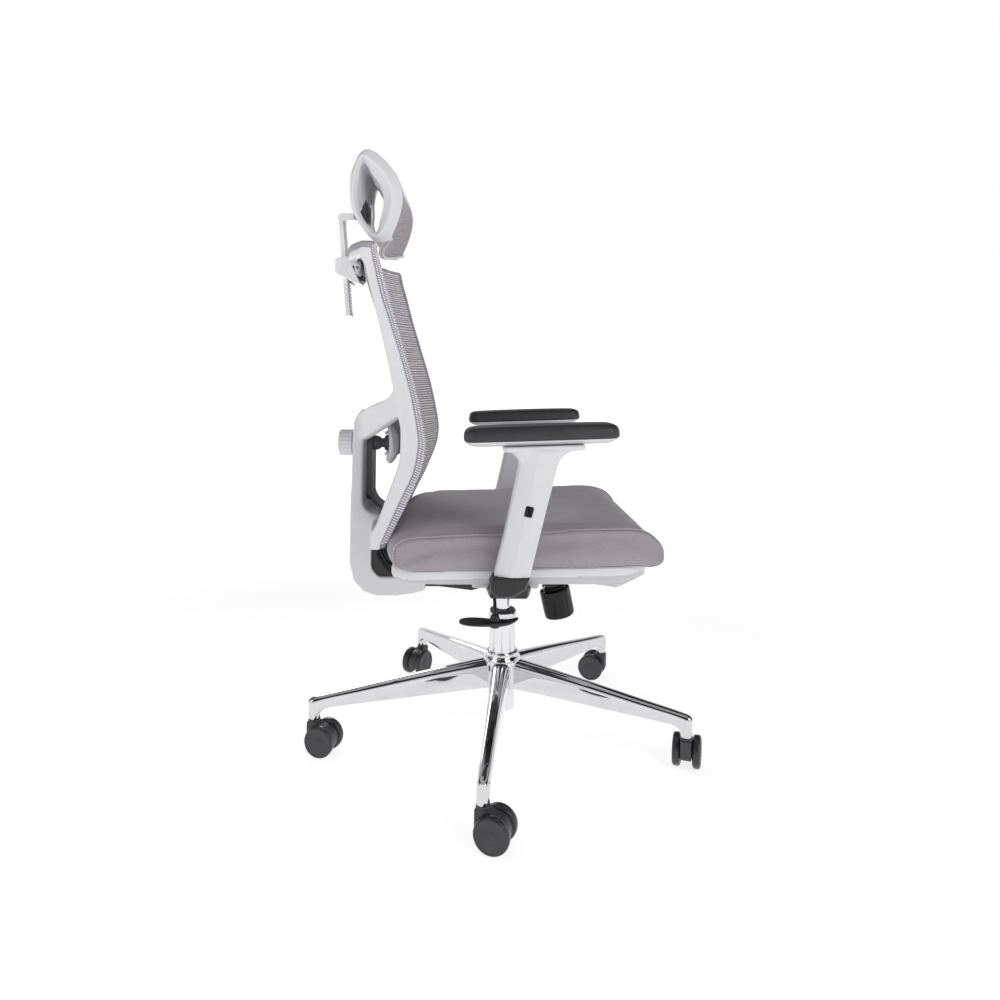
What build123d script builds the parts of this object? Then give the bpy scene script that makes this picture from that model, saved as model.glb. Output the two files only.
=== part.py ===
"""Swivel office chair: five-arm base on casters, gas column, tilt mechanism, upholstered seat, height-adjustable armrests, mesh back with lumbar support and an adjustable headrest.

Millimetres. +X is the sitter's forward direction, +Y the sitter's left, +Z up. The origin is on the floor under the column axis.
"""
import math
import os

from build123d import *

os.makedirs("parts", exist_ok=True)

# ---------------------------------------------------------------- driving dimensions
stem_radius_pos = 352.0      # column axis to caster stem axis
base_angle = -96.02          # direction of the first base arm, degrees from +X
arm_root_w, arm_root_lo, arm_root_hi = 35.0, 119.0, 168.0
arm_tip_w, arm_tip_lo, arm_tip_hi = 20.0, 102.0, 121.0
socket_r, socket_lo = 10.3, 82.0
stem_r = 5.5
hub_r, hub_lo, hub_hi = 37.0, 116.0, 170.0
tube_r, tube_lo, tube_hi = 25.0, 72.0, 258.0
gas_r, gas_lo, gas_hi = 14.0, 112.0, 340.0
rod_r = 5.0
run_gap = 0.05               # radial clearance of a running fit
drop = 21.0                  # heights above the casters are counted from a level this far below the floor

wheel_r, wheel_w, hood_w, trail = 28.0, 14.6, 18.6, 20.0   # casters, counted from the floor
caster_dirs = [-20.0, 70.0, 157.0, -120.0, -18.0]

recline_x, recline_z = -55.0, 322.0
tilt_x, tilt_z = 95.0, 344.0
pin_r = 5.0

knob_r, knob_len = 29.5, 53.0
knob_top = (100.0, 0.0, 300.5)
knob_dir = (0.22, 0.0, -0.9755)

lever_x, lever_z, lever_y = -19.0, 318.0, -180.0   # lever rod, its height and the paddle's place

pan_top, pan_bottom = 396.0, 366.0
cushion_x0, cushion_x1, cushion_hw, cushion_top = -192.0, 258.0, 240.0, 468.0

post_x, post_z, post_y = 4.5, 398.0, 270.0
lean = (0.2209, 0.0, 0.9753)     # armrest slide direction
lean_x = (0.9753, 0.0, -0.2209)
pad_tilt = 2.4
pad_y = 243.0

rail_in, rail_out = 192.0, 208.0   # side rails, distance from the middle plane

lumbar_z = 580.0
bar_foot = (-303.0, 0.0, 823.0)
bar_dir = (-0.0900, 0.0, 0.99594)
bar_x = (0.99594, 0.0, 0.0900)
bar_t, bar_w = 8.0, 34.0
head_pivot_x, head_pivot_z = -284.0, 1012.0
head_in, head_out = 97.0, 117.0

# side outlines (x, z)
frame_front = [(-233, 921), (-217, 852), (-200, 800), (-181, 742), (-163, 676), (-154, 631), (-150, 602), (-152, 581), (-158, 550), (-181, 499), (-213, 426)]
frame_rear = [(-218, 420), (-228, 421), (-231, 443), (-218, 466), (-208, 494), (-183, 568), (-182, 627), (-187, 645), (-194, 690), (-204, 735), (-220, 800), (-237, 866), (-244, 893), (-252, 905), (-252, 921)]
ring_front = [(-222, 931), (-219, 907), (-212, 887), (-195, 822), (-176, 762), (-155, 691), (-144, 639), (-138, 600), (-138, 571), (-148, 545), (-167, 499), (-204, 423)]
# plan outline of the top rail (x, y), near half, rear edge then front edge
top_rear = [(-252, -208), (-262, -188), (-273, -165), (-287, -108), (-295, -45)]
top_front = [(-281, -43), (-272, -103), (-258, -157), (-244, -184), (-233, -196), (-233, -208)]
top_plan = top_rear + [(x, -y) for x, y in reversed(top_rear)] + [(x, -y) for x, y in reversed(top_front)] + top_front
low_rear = [(-229, -196), (-238, -140), (-243, -75), (-245, -50)]
low_front = [(-230, -40), (-228, -75), (-222, -140), (-213, -192), (-213, -196)]
low_plan = low_rear + [(x, -y) for x, y in reversed(low_rear)] + [(x, -y) for x, y in reversed(low_front)] + low_front
ring_low_rear = [(-206, -200), (-206, -192), (-213, -191.9), (-222, -140), (-228, -75), (-230, -40)]
ring_low_front = [(-220, -40), (-218, -75), (-212, -140), (-203, -191), (-200, -200)]
ring_low_plan = ring_low_rear + [(x, -y) for x, y in reversed(ring_low_rear)] + [(x, -y) for x, y in reversed(ring_low_front)] + ring_low_front
# mesh sections: height, side edge x, hollow of the middle
mesh_rows = [(441, -200, 18), (499, -174, 22), (571, -145, 28), (640, -149, 30), (762, -182, 38), (887, -220, 46), (919, -230, 45)]

head_outer = [(-258, 1116), (-243, 1111), (-225, 1096), (-211, 1080), (-202, 1067), (-196, 1050), (-193, 1032), (-194, 1014), (-201, 987), (-209, 967), (-214, 956), (-227, 947), (-243, 951), (-264, 973), (-279, 998), (-283, 1012), (-285, 1041), (-284, 1071), (-280, 1087), (-270, 1109)]
head_hole = [(-263, 1093), (-250, 1072), (-235, 1053), (-228, 1031), (-228, 1013), (-233, 990), (-240, 967), (-254, 979), (-268, 1000), (-272, 1020), (-273, 1048)]
head_lip = [(-243, 951), (-241, 940), (-233, 935), (-224, 937), (-222, 944), (-232, 952)]
head_tongue = [(-273, 984), (-285, 1014), (-285, 1052), (-269, 1052), (-269, 984)]
# headrest mesh sections: height, side edge x, hollow of the middle
head_rows = [(955, -218, 18), (985, -205, 24), (1014, -198, 25), (1032, -197, 22), (1046, -199, 18)]

to_floor = Location((0, 0, -drop))

# ---------------------------------------------------------------- base
with BuildPart() as base_arm:
    with BuildSketch(Plane.YZ.offset(24)) as root_section:
        with Locations((0, (arm_root_lo + arm_root_hi) / 2)):
            Rectangle(arm_root_w, arm_root_hi - arm_root_lo)
        fillet(root_section.vertices().group_by(Axis.Z)[-1], 9)
    with BuildSketch(Plane.YZ.offset(stem_radius_pos)) as tip_section:
        with Locations((0, (arm_tip_lo + arm_tip_hi) / 2)):
            Rectangle(arm_tip_w, arm_tip_hi - arm_tip_lo)
        fillet(tip_section.vertices().group_by(Axis.Z)[-1], 5)
    loft()
    # rounded end and caster socket
    with BuildSketch(Plane.XY.offset(socket_lo)):
        with Locations((stem_radius_pos, 0)):
            Circle(socket_r)
    extrude(amount=arm_tip_hi - 1.5 - socket_lo)
    # casting channel under the arm
    with BuildSketch(Plane.YZ.offset(62)):
        with Locations((0, 132)):
            Rectangle(18, 40)
    with BuildSketch(Plane.YZ.offset(322)):
        with Locations((0, 102)):
            Rectangle(10, 18)
    loft(mode=Mode.SUBTRACT)
    with BuildSketch(Plane.XY.offset(socket_lo)):
        with Locations((stem_radius_pos, 0)):
            Circle(stem_r)
    extrude(amount=35, mode=Mode.SUBTRACT)

with BuildPart() as star_base:
    with BuildSketch(Plane.XY.offset(hub_lo)):
        Circle(hub_r)
    extrude(amount=hub_hi - hub_lo)
    with BuildSketch(Plane.XY.offset(hub_hi)):
        Circle(31)
    extrude(amount=12)
    fillet(star_base.edges().filter_by(GeomType.CIRCLE).group_by(Axis.Z)[-1], 4)
    for k in range(5):
        add(base_arm.part.rotate(Axis.Z, base_angle + 72 * k))
    with BuildSketch(Plane.XY.offset(hub_lo - 20)):
        Circle(tube_r)
    extrude(amount=120, mode=Mode.SUBTRACT)
star_base.part.label = "star_base"
export_step(star_base.part.moved(to_floor), "parts/star_base.step")

with BuildPart() as lift_tube:
    with BuildSketch(Plane.XY.offset(tube_lo)):
        Circle(tube_r)
    extrude(amount=tube_hi - tube_lo)
    chamfer(lift_tube.edges().group_by(Axis.Z)[0], 2)
    with BuildSketch(Plane.XY.offset(tube_lo + 4)):
        Circle(tube_r - 2)
    extrude(amount=tube_hi - tube_lo, mode=Mode.SUBTRACT)
    with BuildSketch(Plane.XY.offset(tube_lo)):
        Circle(7)
    extrude(amount=10, mode=Mode.SUBTRACT)
lift_tube.part.label = "lift_tube"
export_step(lift_tube.part.moved(to_floor), "parts/lift_tube.step")

with BuildPart() as guide_bush:
    with BuildSketch(Plane.XY.offset(196)):
        Circle(tube_r - 2)
    extrude(amount=tube_hi - 196)
    with BuildSketch(Plane.XY.offset(tube_hi)):
        Circle(tube_r - 0.4)
    extrude(amount=3.5)
    chamfer(guide_bush.edges().group_by(Axis.Z)[-1], 1.2)
    with BuildSketch(Plane.XY.offset(190)):
        Circle(gas_r + run_gap)
    extrude(amount=90, mode=Mode.SUBTRACT)
guide_bush.part.label = "guide_bush"
export_step(guide_bush.part.moved(to_floor), "parts/guide_bush.step")

with BuildPart() as thrust_bearing:
    with BuildSketch(Plane.XY.offset(tube_lo + 4)):
        Circle(15)
        Circle(5.3, mode=Mode.SUBTRACT)
    extrude(amount=8)
thrust_bearing.part.label = "thrust_bearing"
export_step(thrust_bearing.part.moved(to_floor), "parts/thrust_bearing.step")

with BuildPart() as caster_stems:
    with PolarLocations(stem_radius_pos, 5, start_angle=base_angle):
        Cylinder(stem_r, 54, align=(Align.CENTER, Align.CENTER, Align.MIN), rotation=(0, 0, 0))
caster_stems.part = caster_stems.part.moved(Location((0, 0, 63)))
caster_stems.part.label = "caster_stems"
export_step(caster_stems.part.moved(to_floor), "parts/caster_stems.step")

# ---------------------------------------------------------------- gas column, upper half
with BuildPart() as piston_rod:
    with BuildSketch(Plane.XY.offset(64)):
        Circle(rod_r)
    extrude(amount=172)
    with BuildSketch(Plane.XY.offset(84.3)):
        Circle(11)
    extrude(amount=4)
    with BuildSketch(Plane.XY.offset(222)):
        Circle(gas_r - 1.1)
    extrude(amount=14)
piston_rod.part.label = "piston_rod"
export_step(piston_rod.part.moved(to_floor), "parts/piston_rod.step")

with BuildPart() as pressure_cylinder:
    with BuildSketch(Plane.XY.offset(gas_lo)):
        Circle(gas_r)
    extrude(amount=gas_hi - gas_lo)
    chamfer(pressure_cylinder.edges().group_by(Axis.Z)[-1], 2)
    with BuildSketch(Plane.XY.offset(gas_lo + 6)):
        Circle(gas_r - 1)
    extrude(amount=200, mode=Mode.SUBTRACT)
    with BuildSketch(Plane.XY.offset(gas_lo - 1)):
        Circle(rod_r + run_gap)
    extrude(amount=10, mode=Mode.SUBTRACT)
pressure_cylinder.part.label = "pressure_cylinder"
export_step(pressure_cylinder.part.moved(to_floor), "parts/pressure_cylinder.step")

# ---------------------------------------------------------------- tilt mechanism
housing_side = [(-95, 300), (-95, 334), (60, 352), (112, 352), (112, 322), (62, 322), (30, 300)]
housing_cut = [(-91, 304), (-91, 365), (108, 365), (108, 326), (60, 326), (28.5, 304)]
with BuildPart() as mechanism_housing:
    with BuildSketch(Plane.XZ):
        Polygon(*housing_side, align=None)
    extrude(amount=42, both=True)
    fillet(mechanism_housing.edges().filter_by(Axis.Y).group_by(Axis.Z)[0], 6)
    with BuildSketch(Plane.XZ):
        Polygon(*housing_cut, align=None)
    extrude(amount=38, both=True, mode=Mode.SUBTRACT)
    with BuildSketch(Plane.XY.offset(296)):
        Circle(21)
    extrude(amount=48)
    with BuildSketch(Plane.XY.offset(290)):
        Circle(gas_r)
    extrude(amount=80, mode=Mode.SUBTRACT)
    with BuildSketch(Plane.XZ):
        with Locations((recline_x, recline_z), (tilt_x, tilt_z)):
            Circle(pin_r)
    extrude(amount=60, both=True, mode=Mode.SUBTRACT)
    # hole in the side wall where the lever rod rocks
    with BuildSketch(Plane.XZ.offset(34)):
        with Locations((lever_x, lever_z)):
            Circle(3.5)
    extrude(amount=12, mode=Mode.SUBTRACT)
mechanism_housing.part.label = "mechanism_housing"
export_step(mechanism_housing.part.moved(to_floor), "parts/mechanism_housing.step")

with BuildPart() as pivot_pins:
    with BuildSketch(Plane.XZ):
        with Locations((recline_x, recline_z)):
            Circle(pin_r)
    extrude(amount=55, both=True)
    with BuildSketch(Plane.XZ):
        with Locations((tilt_x, tilt_z)):
            Circle(pin_r)
    extrude(amount=50, both=True)
pivot_pins.part.label = "pivot_pins"
export_step(pivot_pins.part.moved(to_floor), "parts/pivot_pins.step")

knob_plane = Plane(origin=knob_top, x_dir=(0.9755, 0, 0.22), z_dir=knob_dir)
with BuildPart() as tension_knob:
    with BuildSketch(knob_plane):
        Circle(knob_r)
    extrude(amount=knob_len)
    fillet(tension_knob.faces().sort_by(Axis(knob_top, knob_dir))[-1].edges(), 4)
    with BuildSketch(knob_plane):
        Circle(knob_r - 2.6)
    extrude(amount=45, mode=Mode.SUBTRACT)
    # finger flutes round the grip
    with BuildSketch(knob_plane):
        with PolarLocations(knob_r + 1.2, 12):
            Circle(2.2)
    extrude(amount=knob_len - 6, mode=Mode.SUBTRACT)
tension_knob.part.label = "tension_knob"
export_step(tension_knob.part.moved(to_floor), "parts/tension_knob.step")

with BuildPart() as tension_screw:
    with BuildSketch(knob_plane.offset(-10)):
        Circle(6)
    extrude(amount=55)
    with BuildSketch(knob_plane.offset(42)):
        RegularPolygon(10, 6)
    extrude(amount=3)
tension_screw.part.label = "tension_screw"
export_step(tension_screw.part.moved(to_floor), "parts/tension_screw.step")

with BuildPart() as tension_spring:
    with BuildLine() as spring_path:
        Helix(pitch=6.6, height=46.2, radius=20.5, center=knob_plane.offset(-9).origin, direction=knob_dir)
    with BuildSketch(Plane(origin=spring_path.line @ 0, z_dir=spring_path.line % 0)):
        Circle(2.3)
    sweep(path=spring_path.line, is_frenet=True)
tension_spring.part.label = "tension_spring"
export_step(tension_spring.part.moved(to_floor), "parts/tension_spring.step")

with BuildPart() as height_lever_rod:
    with BuildLine() as lever_path:
        FilletPolyline((lever_x, -20, lever_z), (lever_x, lever_y, lever_z), (lever_x, lever_y, 300), radius=13)
    with BuildSketch(Plane(origin=(lever_x, -20, lever_z), z_dir=(0, -1, 0))):
        Circle(3)
    sweep(path=lever_path.line)
height_lever_rod.part.label = "height_lever_rod"
export_step(height_lever_rod.part.moved(to_floor), "parts/height_lever_rod.step")

with BuildPart() as lever_paddle:
    with BuildSketch(Plane.XY.offset(292)) as paddle_plan:
        Polygon((-80, -196), (-70, -201), (-25, -197), (0, -193), (21, -184), (21, -178), (0, -168), (-25, -164), (-70, -160), (-80, -166), align=None)
        fillet(paddle_plan.vertices(), 4)
    extrude(amount=7)
    with BuildSketch(Plane.XY.offset(285)):
        with Locations((lever_x, lever_y)):
            Circle(9)
    extrude(amount=22)
    with BuildSketch(Plane.XY.offset(300)):
        with Locations((lever_x, lever_y)):
            Circle(3)
    extrude(amount=20, mode=Mode.SUBTRACT)
lever_paddle.part.label = "lever_paddle"
export_step(lever_paddle.part.moved(to_floor), "parts/lever_paddle.step")

# ---------------------------------------------------------------- seat
with BuildPart() as seat_plate:
    with BuildSketch(Plane.XY.offset(362)) as plate_plan:
        with Locations((-3.5, 0)):
            RectangleRounded(243, 170, 14)
    extrude(amount=4)
    with BuildSketch(Plane.XZ.offset(43)) as ear_right:
        Polygon((80, 362), (110, 362), (107, 336), (101, 331), (89, 331), (83, 336), align=None)
    extrude(amount=4)
    with BuildSketch(Plane.XZ.offset(-47)) as ear_left:
        Polygon((80, 362), (110, 362), (107, 336), (101, 331), (89, 331), (83, 336), align=None)
    extrude(amount=4)
    with BuildSketch(Plane.XZ):
        with Locations((tilt_x, tilt_z)):
            Circle(pin_r + run_gap)
    extrude(amount=60, both=True, mode=Mode.SUBTRACT)
    with BuildSketch(Plane.XY.offset(360)):
        with Locations((-105, 70), (-105, -70), (70, 70), (70, -70)):
            Circle(3)
    extrude(amount=10, mode=Mode.SUBTRACT)
seat_plate.part.label = "seat_plate"
export_step(seat_plate.part.moved(to_floor), "parts/seat_plate.step")

with BuildPart() as seat_pan:
    with BuildSketch(Plane.XY.offset(pan_bottom)):
        with Locations((22, 0)):
            RectangleRounded(372, 394, 52)
    with BuildSketch(Plane.XY.offset(378)):
        with Locations((22, 0)):
            RectangleRounded(424, 448, 62)
    loft()
    with BuildSketch(Plane.XY.offset(378)):
        with Locations((22, 0)):
            RectangleRounded(424, 448, 62)
    with BuildSketch(Plane.XY.offset(pan_top)):
        with Locations((22, 0)):
            RectangleRounded(434, 458, 66)
    loft()
    # recess for the seat board
    with BuildSketch(Plane.XY.offset(384)):
        with Locations((22, 0)):
            RectangleRounded(404, 428, 56)
    extrude(amount=20, mode=Mode.SUBTRACT)
    with BuildSketch(Plane.XY.offset(360)):
        with Locations((-105, 70), (-105, -70), (70, 70), (70, -70), (-12, 120), (24, 120), (-12, -120), (24, -120)):
            Circle(3)
    extrude(amount=18, mode=Mode.SUBTRACT)
seat_pan.part.label = "seat_pan"
export_step(seat_pan.part.moved(to_floor), "parts/seat_pan.step")

with BuildPart() as seat_board:
    with BuildSketch(Plane.XY.offset(384)):
        with Locations((22, 0)):
            RectangleRounded(403, 427, 55)
    extrude(amount=12)
seat_board.part.label = "seat_board"
export_step(seat_board.part.moved(to_floor), "parts/seat_board.step")

with BuildPart() as seat_cushion:
    with BuildSketch(Plane.XY.offset(pan_top)):
        with Locations(((cushion_x0 + cushion_x1) / 2, 0)):
            RectangleRounded(cushion_x1 - cushion_x0, 2 * cushion_hw, 60)
    extrude(amount=cushion_top - pan_top)
    fillet(seat_cushion.edges().group_by(Axis.Z)[-1], 26)
    fillet(seat_cushion.edges().group_by(Axis.Z)[0], 8)
seat_cushion.part.label = "seat_cushion"
export_step(seat_cushion.part.moved(to_floor), "parts/seat_cushion.step")

with BuildPart() as seat_bolts:
    with BuildSketch(Plane.XY.offset(357)):
        with Locations((-105, 70), (-105, -70), (70, 70), (70, -70)):
            RegularPolygon(6, 6)
    extrude(amount=5)
    with BuildSketch(Plane.XY.offset(362)):
        with Locations((-105, 70), (-105, -70), (70, 70), (70, -70)):
            Circle(3)
    extrude(amount=16)
    with BuildSketch(Plane.XY.offset(347)):
        with Locations((-12, 120), (24, 120), (-12, -120), (24, -120)):
            RegularPolygon(6, 6)
    extrude(amount=5)
    with BuildSketch(Plane.XY.offset(352)):
        with Locations((-12, 120), (24, 120), (-12, -120), (24, -120)):
            Circle(3)
    extrude(amount=26)
seat_bolts.part.label = "seat_bolts"
export_step(seat_bolts.part.moved(to_floor), "parts/seat_bolts.step")

# ---------------------------------------------------------------- armrests (right side, then mirrored)
post_plane = Plane(origin=(post_x, -post_y, post_z), x_dir=lean_x, z_dir=lean)
with BuildPart() as arm_bracket_right:
    with BuildSketch(Plane.XY.offset(352)):
        Polygon((-36, -96), (48, -96), (40, -200), (33, -260), (-26, -260), (-34, -200), align=None)
    extrude(amount=14)
    # elbow below the sleeve
    with BuildSketch(Plane.XZ.offset(249)):
        Polygon((-24, 398), (33, 398), (28, 371), (10, 355), (-12, 355), (-28, 371), align=None)
    extrude(amount=42)
    fillet(arm_bracket_right.faces().sort_by(Axis.Y)[0].edges(), 5)
    # inner post
    with BuildSketch(post_plane.offset(-14)) as post_section:
        RectangleRounded(36, 24, 4)
    extrude(amount=150)
    with BuildSketch(Plane.XY.offset(345)):
        with Locations((-12, -120), (24, -120)):
            Circle(3)
    extrude(amount=30, mode=Mode.SUBTRACT)
arm_bracket_right.part.label = "arm_bracket_right"
export_step(arm_bracket_right.part.moved(to_floor), "parts/arm_bracket_right.step")

pad_plane = Plane(origin=(50.5, -pad_y, 604), x_dir=(math.cos(math.radians(pad_tilt)), 0, math.sin(math.radians(pad_tilt))), z_dir=(-math.sin(math.radians(pad_tilt)), 0, math.cos(math.radians(pad_tilt))))
button_plane = Plane(origin=(29, -292, 502), x_dir=lean_x, z_dir=(0, -1, 0))
with BuildPart() as arm_sleeve_right:
    with BuildSketch(Plane.XZ.offset(248)):
        Polygon((-24, 398.6), (33, 398.6), (66, 541), (76, 579), (84, 591), (106, 600), (-10, 596), (9, 588), (15, 578), (6, 536), (-9, 462), align=None)
    extrude(amount=44)
    fillet(arm_sleeve_right.edges().filter_by(lambda e: e.length > 60 and abs(e.center().Y + 292) < 0.5), 9)
    with BuildSketch(pad_plane.offset(-8)):
        with Locations((1, -1.5)):
            RectangleRounded(128, 92, 8)
    extrude(amount=8)
    # hollow for the post
    with BuildSketch(post_plane.offset(-10)):
        RectangleRounded(37, 25, 4.4)
    extrude(amount=190, mode=Mode.SUBTRACT)
    # opening for the button
    with BuildSketch(button_plane.offset(3)):
        RectangleRounded(11.8, 15.8, 1.8)
    extrude(amount=-16, mode=Mode.SUBTRACT)
arm_sleeve_right.part.label = "arm_sleeve_right"
export_step(arm_sleeve_right.part.moved(to_floor), "parts/arm_sleeve_right.step")

with BuildPart() as arm_button_right:
    with BuildSketch(button_plane.offset(-6.2)):
        RectangleRounded(11, 15, 1.6)
    extrude(amount=8)
    fillet(arm_button_right.faces().sort_by(Axis.Y)[0].edges(), 0.8)
arm_button_right.part.label = "arm_button_right"
export_step(arm_button_right.part.moved(to_floor), "parts/arm_button_right.step")

with BuildPart() as pad_shell_right:
    with BuildSketch(pad_plane.offset(0.4)):
        RectangleRounded(214, 76, 28)
    with BuildSketch(pad_plane.offset(8.4)):
        RectangleRounded(234, 86, 33)
    loft()
pad_shell_right.part.label = "pad_shell_right"
export_step(pad_shell_right.part.moved(to_floor), "parts/pad_shell_right.step")

with BuildPart() as arm_pad_right:
    with BuildSketch(pad_plane.offset(8.4)):
        RectangleRounded(242, 92, 38)
    extrude(amount=22)
    fillet(arm_pad_right.faces().sort_by(Axis.Z)[-1].edges(), 9)
    fillet(arm_pad_right.faces().sort_by(Axis.Z)[0].edges(), 3)
arm_pad_right.part.label = "arm_pad_right"
export_step(arm_pad_right.part.moved(to_floor), "parts/arm_pad_right.step")

with BuildPart() as arm_bracket_left:
    mirror(arm_bracket_right.part, about=Plane.XZ)
arm_bracket_left.part.label = "arm_bracket_left"
export_step(arm_bracket_left.part.moved(to_floor), "parts/arm_bracket_left.step")
with BuildPart() as arm_sleeve_left:
    mirror(arm_sleeve_right.part, about=Plane.XZ)
arm_sleeve_left.part.label = "arm_sleeve_left"
export_step(arm_sleeve_left.part.moved(to_floor), "parts/arm_sleeve_left.step")
with BuildPart() as arm_button_left:
    mirror(arm_button_right.part, about=Plane.XZ)
arm_button_left.part.label = "arm_button_left"
export_step(arm_button_left.part.moved(to_floor), "parts/arm_button_left.step")
with BuildPart() as pad_shell_left:
    mirror(pad_shell_right.part, about=Plane.XZ)
pad_shell_left.part.label = "pad_shell_left"
export_step(pad_shell_left.part.moved(to_floor), "parts/pad_shell_left.step")
with BuildPart() as arm_pad_left:
    mirror(arm_pad_right.part, about=Plane.XZ)
arm_pad_left.part.label = "arm_pad_left"
export_step(arm_pad_left.part.moved(to_floor), "parts/arm_pad_left.step")

# ---------------------------------------------------------------- back
spine_side = [(-262, 650), (-276, 640), (-281, 622), (-283, 544), (-285, 448), (-285, 364), (-279, 337), (-261, 315), (-239, 305), (-198, 305), (-174, 309), (-146, 316), (-146, 337), (-200, 339), (-230, 339), (-239, 348), (-245, 365), (-245, 452), (-262, 472), (-266, 590), (-258, 602), (-250, 640)]
arm_inner = [(-280, 602), (-258, 602), (-250, 646), (-270, 650)]
arm_outer = [(-206, 642), (-184, 640), (-177, 690), (-197, 692)]
with BuildPart() as back_support:
    with BuildSketch(Plane.XZ):
        Polygon(*spine_side, align=None)
    extrude(amount=70, both=True)
    for side in (1, -1):
        with BuildSketch(Plane.XZ.offset(side * 60)):
            Polygon(*arm_inner, align=None)
        with BuildSketch(Plane.XZ.offset(side * rail_in)):
            Polygon(*arm_outer, align=None)
        loft()
    # pocket for the steel back bar
    with BuildSketch(Plane.XY.offset(317.7)):
        with Locations((-170, 0)):
            Rectangle(90.6, 104.6)
    extrude(amount=16.6, mode=Mode.SUBTRACT)
    # bore for the lumbar rod
    with BuildSketch(Plane.YZ.offset(-300)):
        with Locations((0, lumbar_z)):
            Circle(9 + run_gap)
    extrude(amount=80, mode=Mode.SUBTRACT)
    # bolt holes into the bottom rail
    with BuildSketch(Plane.YZ.offset(-300)):
        with Locations((-25, 434), (25, 434)):
            Circle(3)
    extrude(amount=70, mode=Mode.SUBTRACT)
    with BuildSketch(Plane.YZ.offset(-300)):
        with Locations((-25, 434), (25, 434)):
            Circle(6.5)
    extrude(amount=21, mode=Mode.SUBTRACT)
back_support.part.label = "back_support"
export_step(back_support.part.moved(to_floor), "parts/back_support.step")

with BuildPart() as back_bar:
    with BuildSketch(Plane.XY.offset(318)):
        with Locations((-182, 0)):
            Rectangle(66, 104)
    extrude(amount=16)
    with BuildSketch(Plane.XZ.offset(46)):
        Polygon((-152, 318), (-120, 318), (-60, 311), (-46, 315), (-44, 322), (-46, 329), (-60, 333), (-152, 334), align=None)
    extrude(amount=6)
    with BuildSketch(Plane.XZ.offset(-52)):
        Polygon((-152, 318), (-120, 318), (-60, 311), (-46, 315), (-44, 322), (-46, 329), (-60, 333), (-152, 334), align=None)
    extrude(amount=6)
    with BuildSketch(Plane.XZ):
        with Locations((recline_x, recline_z)):
            Circle(pin_r + run_gap)
    extrude(amount=60, both=True, mode=Mode.SUBTRACT)
back_bar.part.label = "back_bar"
export_step(back_bar.part.moved(to_floor), "parts/back_bar.step")

with BuildPart() as back_frame:
    for side in (rail_in, -rail_out):
        with BuildSketch(Plane.XZ.offset(side)):
            Polygon(*(frame_front + frame_rear), align=None)
        extrude(amount=rail_out - rail_in)
    with BuildSketch(Plane.XY.offset(905)):
        Polygon(*top_plan, align=None)
    extrude(amount=16)
    with BuildSketch(Plane.XY.offset(424)):
        Polygon(*low_plan, align=None)
    extrude(amount=20)
    # lug that carries the headrest clamp
    with BuildSketch(Plane.XY.offset(882)):
        with Locations((-290, 0)):
            Rectangle(12, 60)
    extrude(amount=25)
    with BuildSketch(Plane.YZ.offset(-250)):
        with Locations((-25, 434), (25, 434)):
            Circle(3)
    extrude(amount=12, mode=Mode.SUBTRACT)
back_frame.part.label = "back_frame"
export_step(back_frame.part.moved(to_floor), "parts/back_frame.step")

with BuildPart() as mesh_ring:
    for side in (rail_in, -rail_out):
        with BuildSketch(Plane.XZ.offset(side)):
            Polygon(*(ring_front + [(x, z) for x, z in reversed(frame_front)] + [(-252, 921), (-252, 931)]), align=None)
        extrude(amount=rail_out - rail_in)
    with BuildSketch(Plane.XY.offset(921)):
        Polygon(*top_plan, align=None)
    extrude(amount=10)
    with BuildSketch(Plane.XY.offset(427)):
        Polygon(*ring_low_plan, align=None)
    extrude(amount=12)
mesh_ring.part.label = "mesh_ring"
export_step(mesh_ring.part.moved(to_floor), "parts/mesh_ring.step")

with BuildPart() as back_mesh:
    for z, edge_x, hollow in mesh_rows:
        with BuildSketch(Plane.XY.offset(z)):
            with BuildLine():
                ThreePointArc((edge_x, -191.7), (edge_x - hollow, 0), (edge_x, 191.7))
                Line((edge_x, 191.7), (edge_x - 2, 191.7))
                ThreePointArc((edge_x - 2, 191.7), (edge_x - 2 - hollow, 0), (edge_x - 2, -191.7))
                Line((edge_x - 2, -191.7), (edge_x, -191.7))
            make_face()
    loft(ruled=True)
back_mesh.part.label = "back_mesh"
export_step(back_mesh.part.moved(to_floor), "parts/back_mesh.step")

with BuildPart() as back_bolts:
    with BuildSketch(Plane.YZ.offset(-284)):
        with Locations((-25, 434), (25, 434)):
            RegularPolygon(6, 6)
    extrude(amount=5)
    with BuildSketch(Plane.YZ.offset(-279)):
        with Locations((-25, 434), (25, 434)):
            Circle(3)
    extrude(amount=41)
back_bolts.part.label = "back_bolts"
export_step(back_bolts.part.moved(to_floor), "parts/back_bolts.step")

bar_plane = Plane(origin=bar_foot, x_dir=bar_x, z_dir=bar_dir)
with BuildPart() as headrest_clamp:
    with BuildSketch(Plane.XZ):
        Polygon((-332, 927), (-314, 934), (-304, 931), (-300, 905), (-300, 884), (-314, 889), (-329, 899), align=None)
    extrude(amount=27, both=True)
    fillet(headrest_clamp.edges().filter_by(Axis.Y).group_by(Axis.X)[0], 4)
    with BuildSketch(bar_plane.offset(40)):
        Rectangle(bar_t + 0.6, bar_w + 0.6)
    extrude(amount=90, mode=Mode.SUBTRACT)
headrest_clamp.part.label = "headrest_clamp"
export_step(headrest_clamp.part.moved(to_floor), "parts/headrest_clamp.step")

with BuildPart() as clamp_insert:
    with BuildSketch(Plane.XY.offset(885)):
        with Locations((-298, 0)):
            Rectangle(4, 40)
    extrude(amount=19)
clamp_insert.part.label = "clamp_insert"
export_step(clamp_insert.part.moved(to_floor), "parts/clamp_insert.step")

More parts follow.
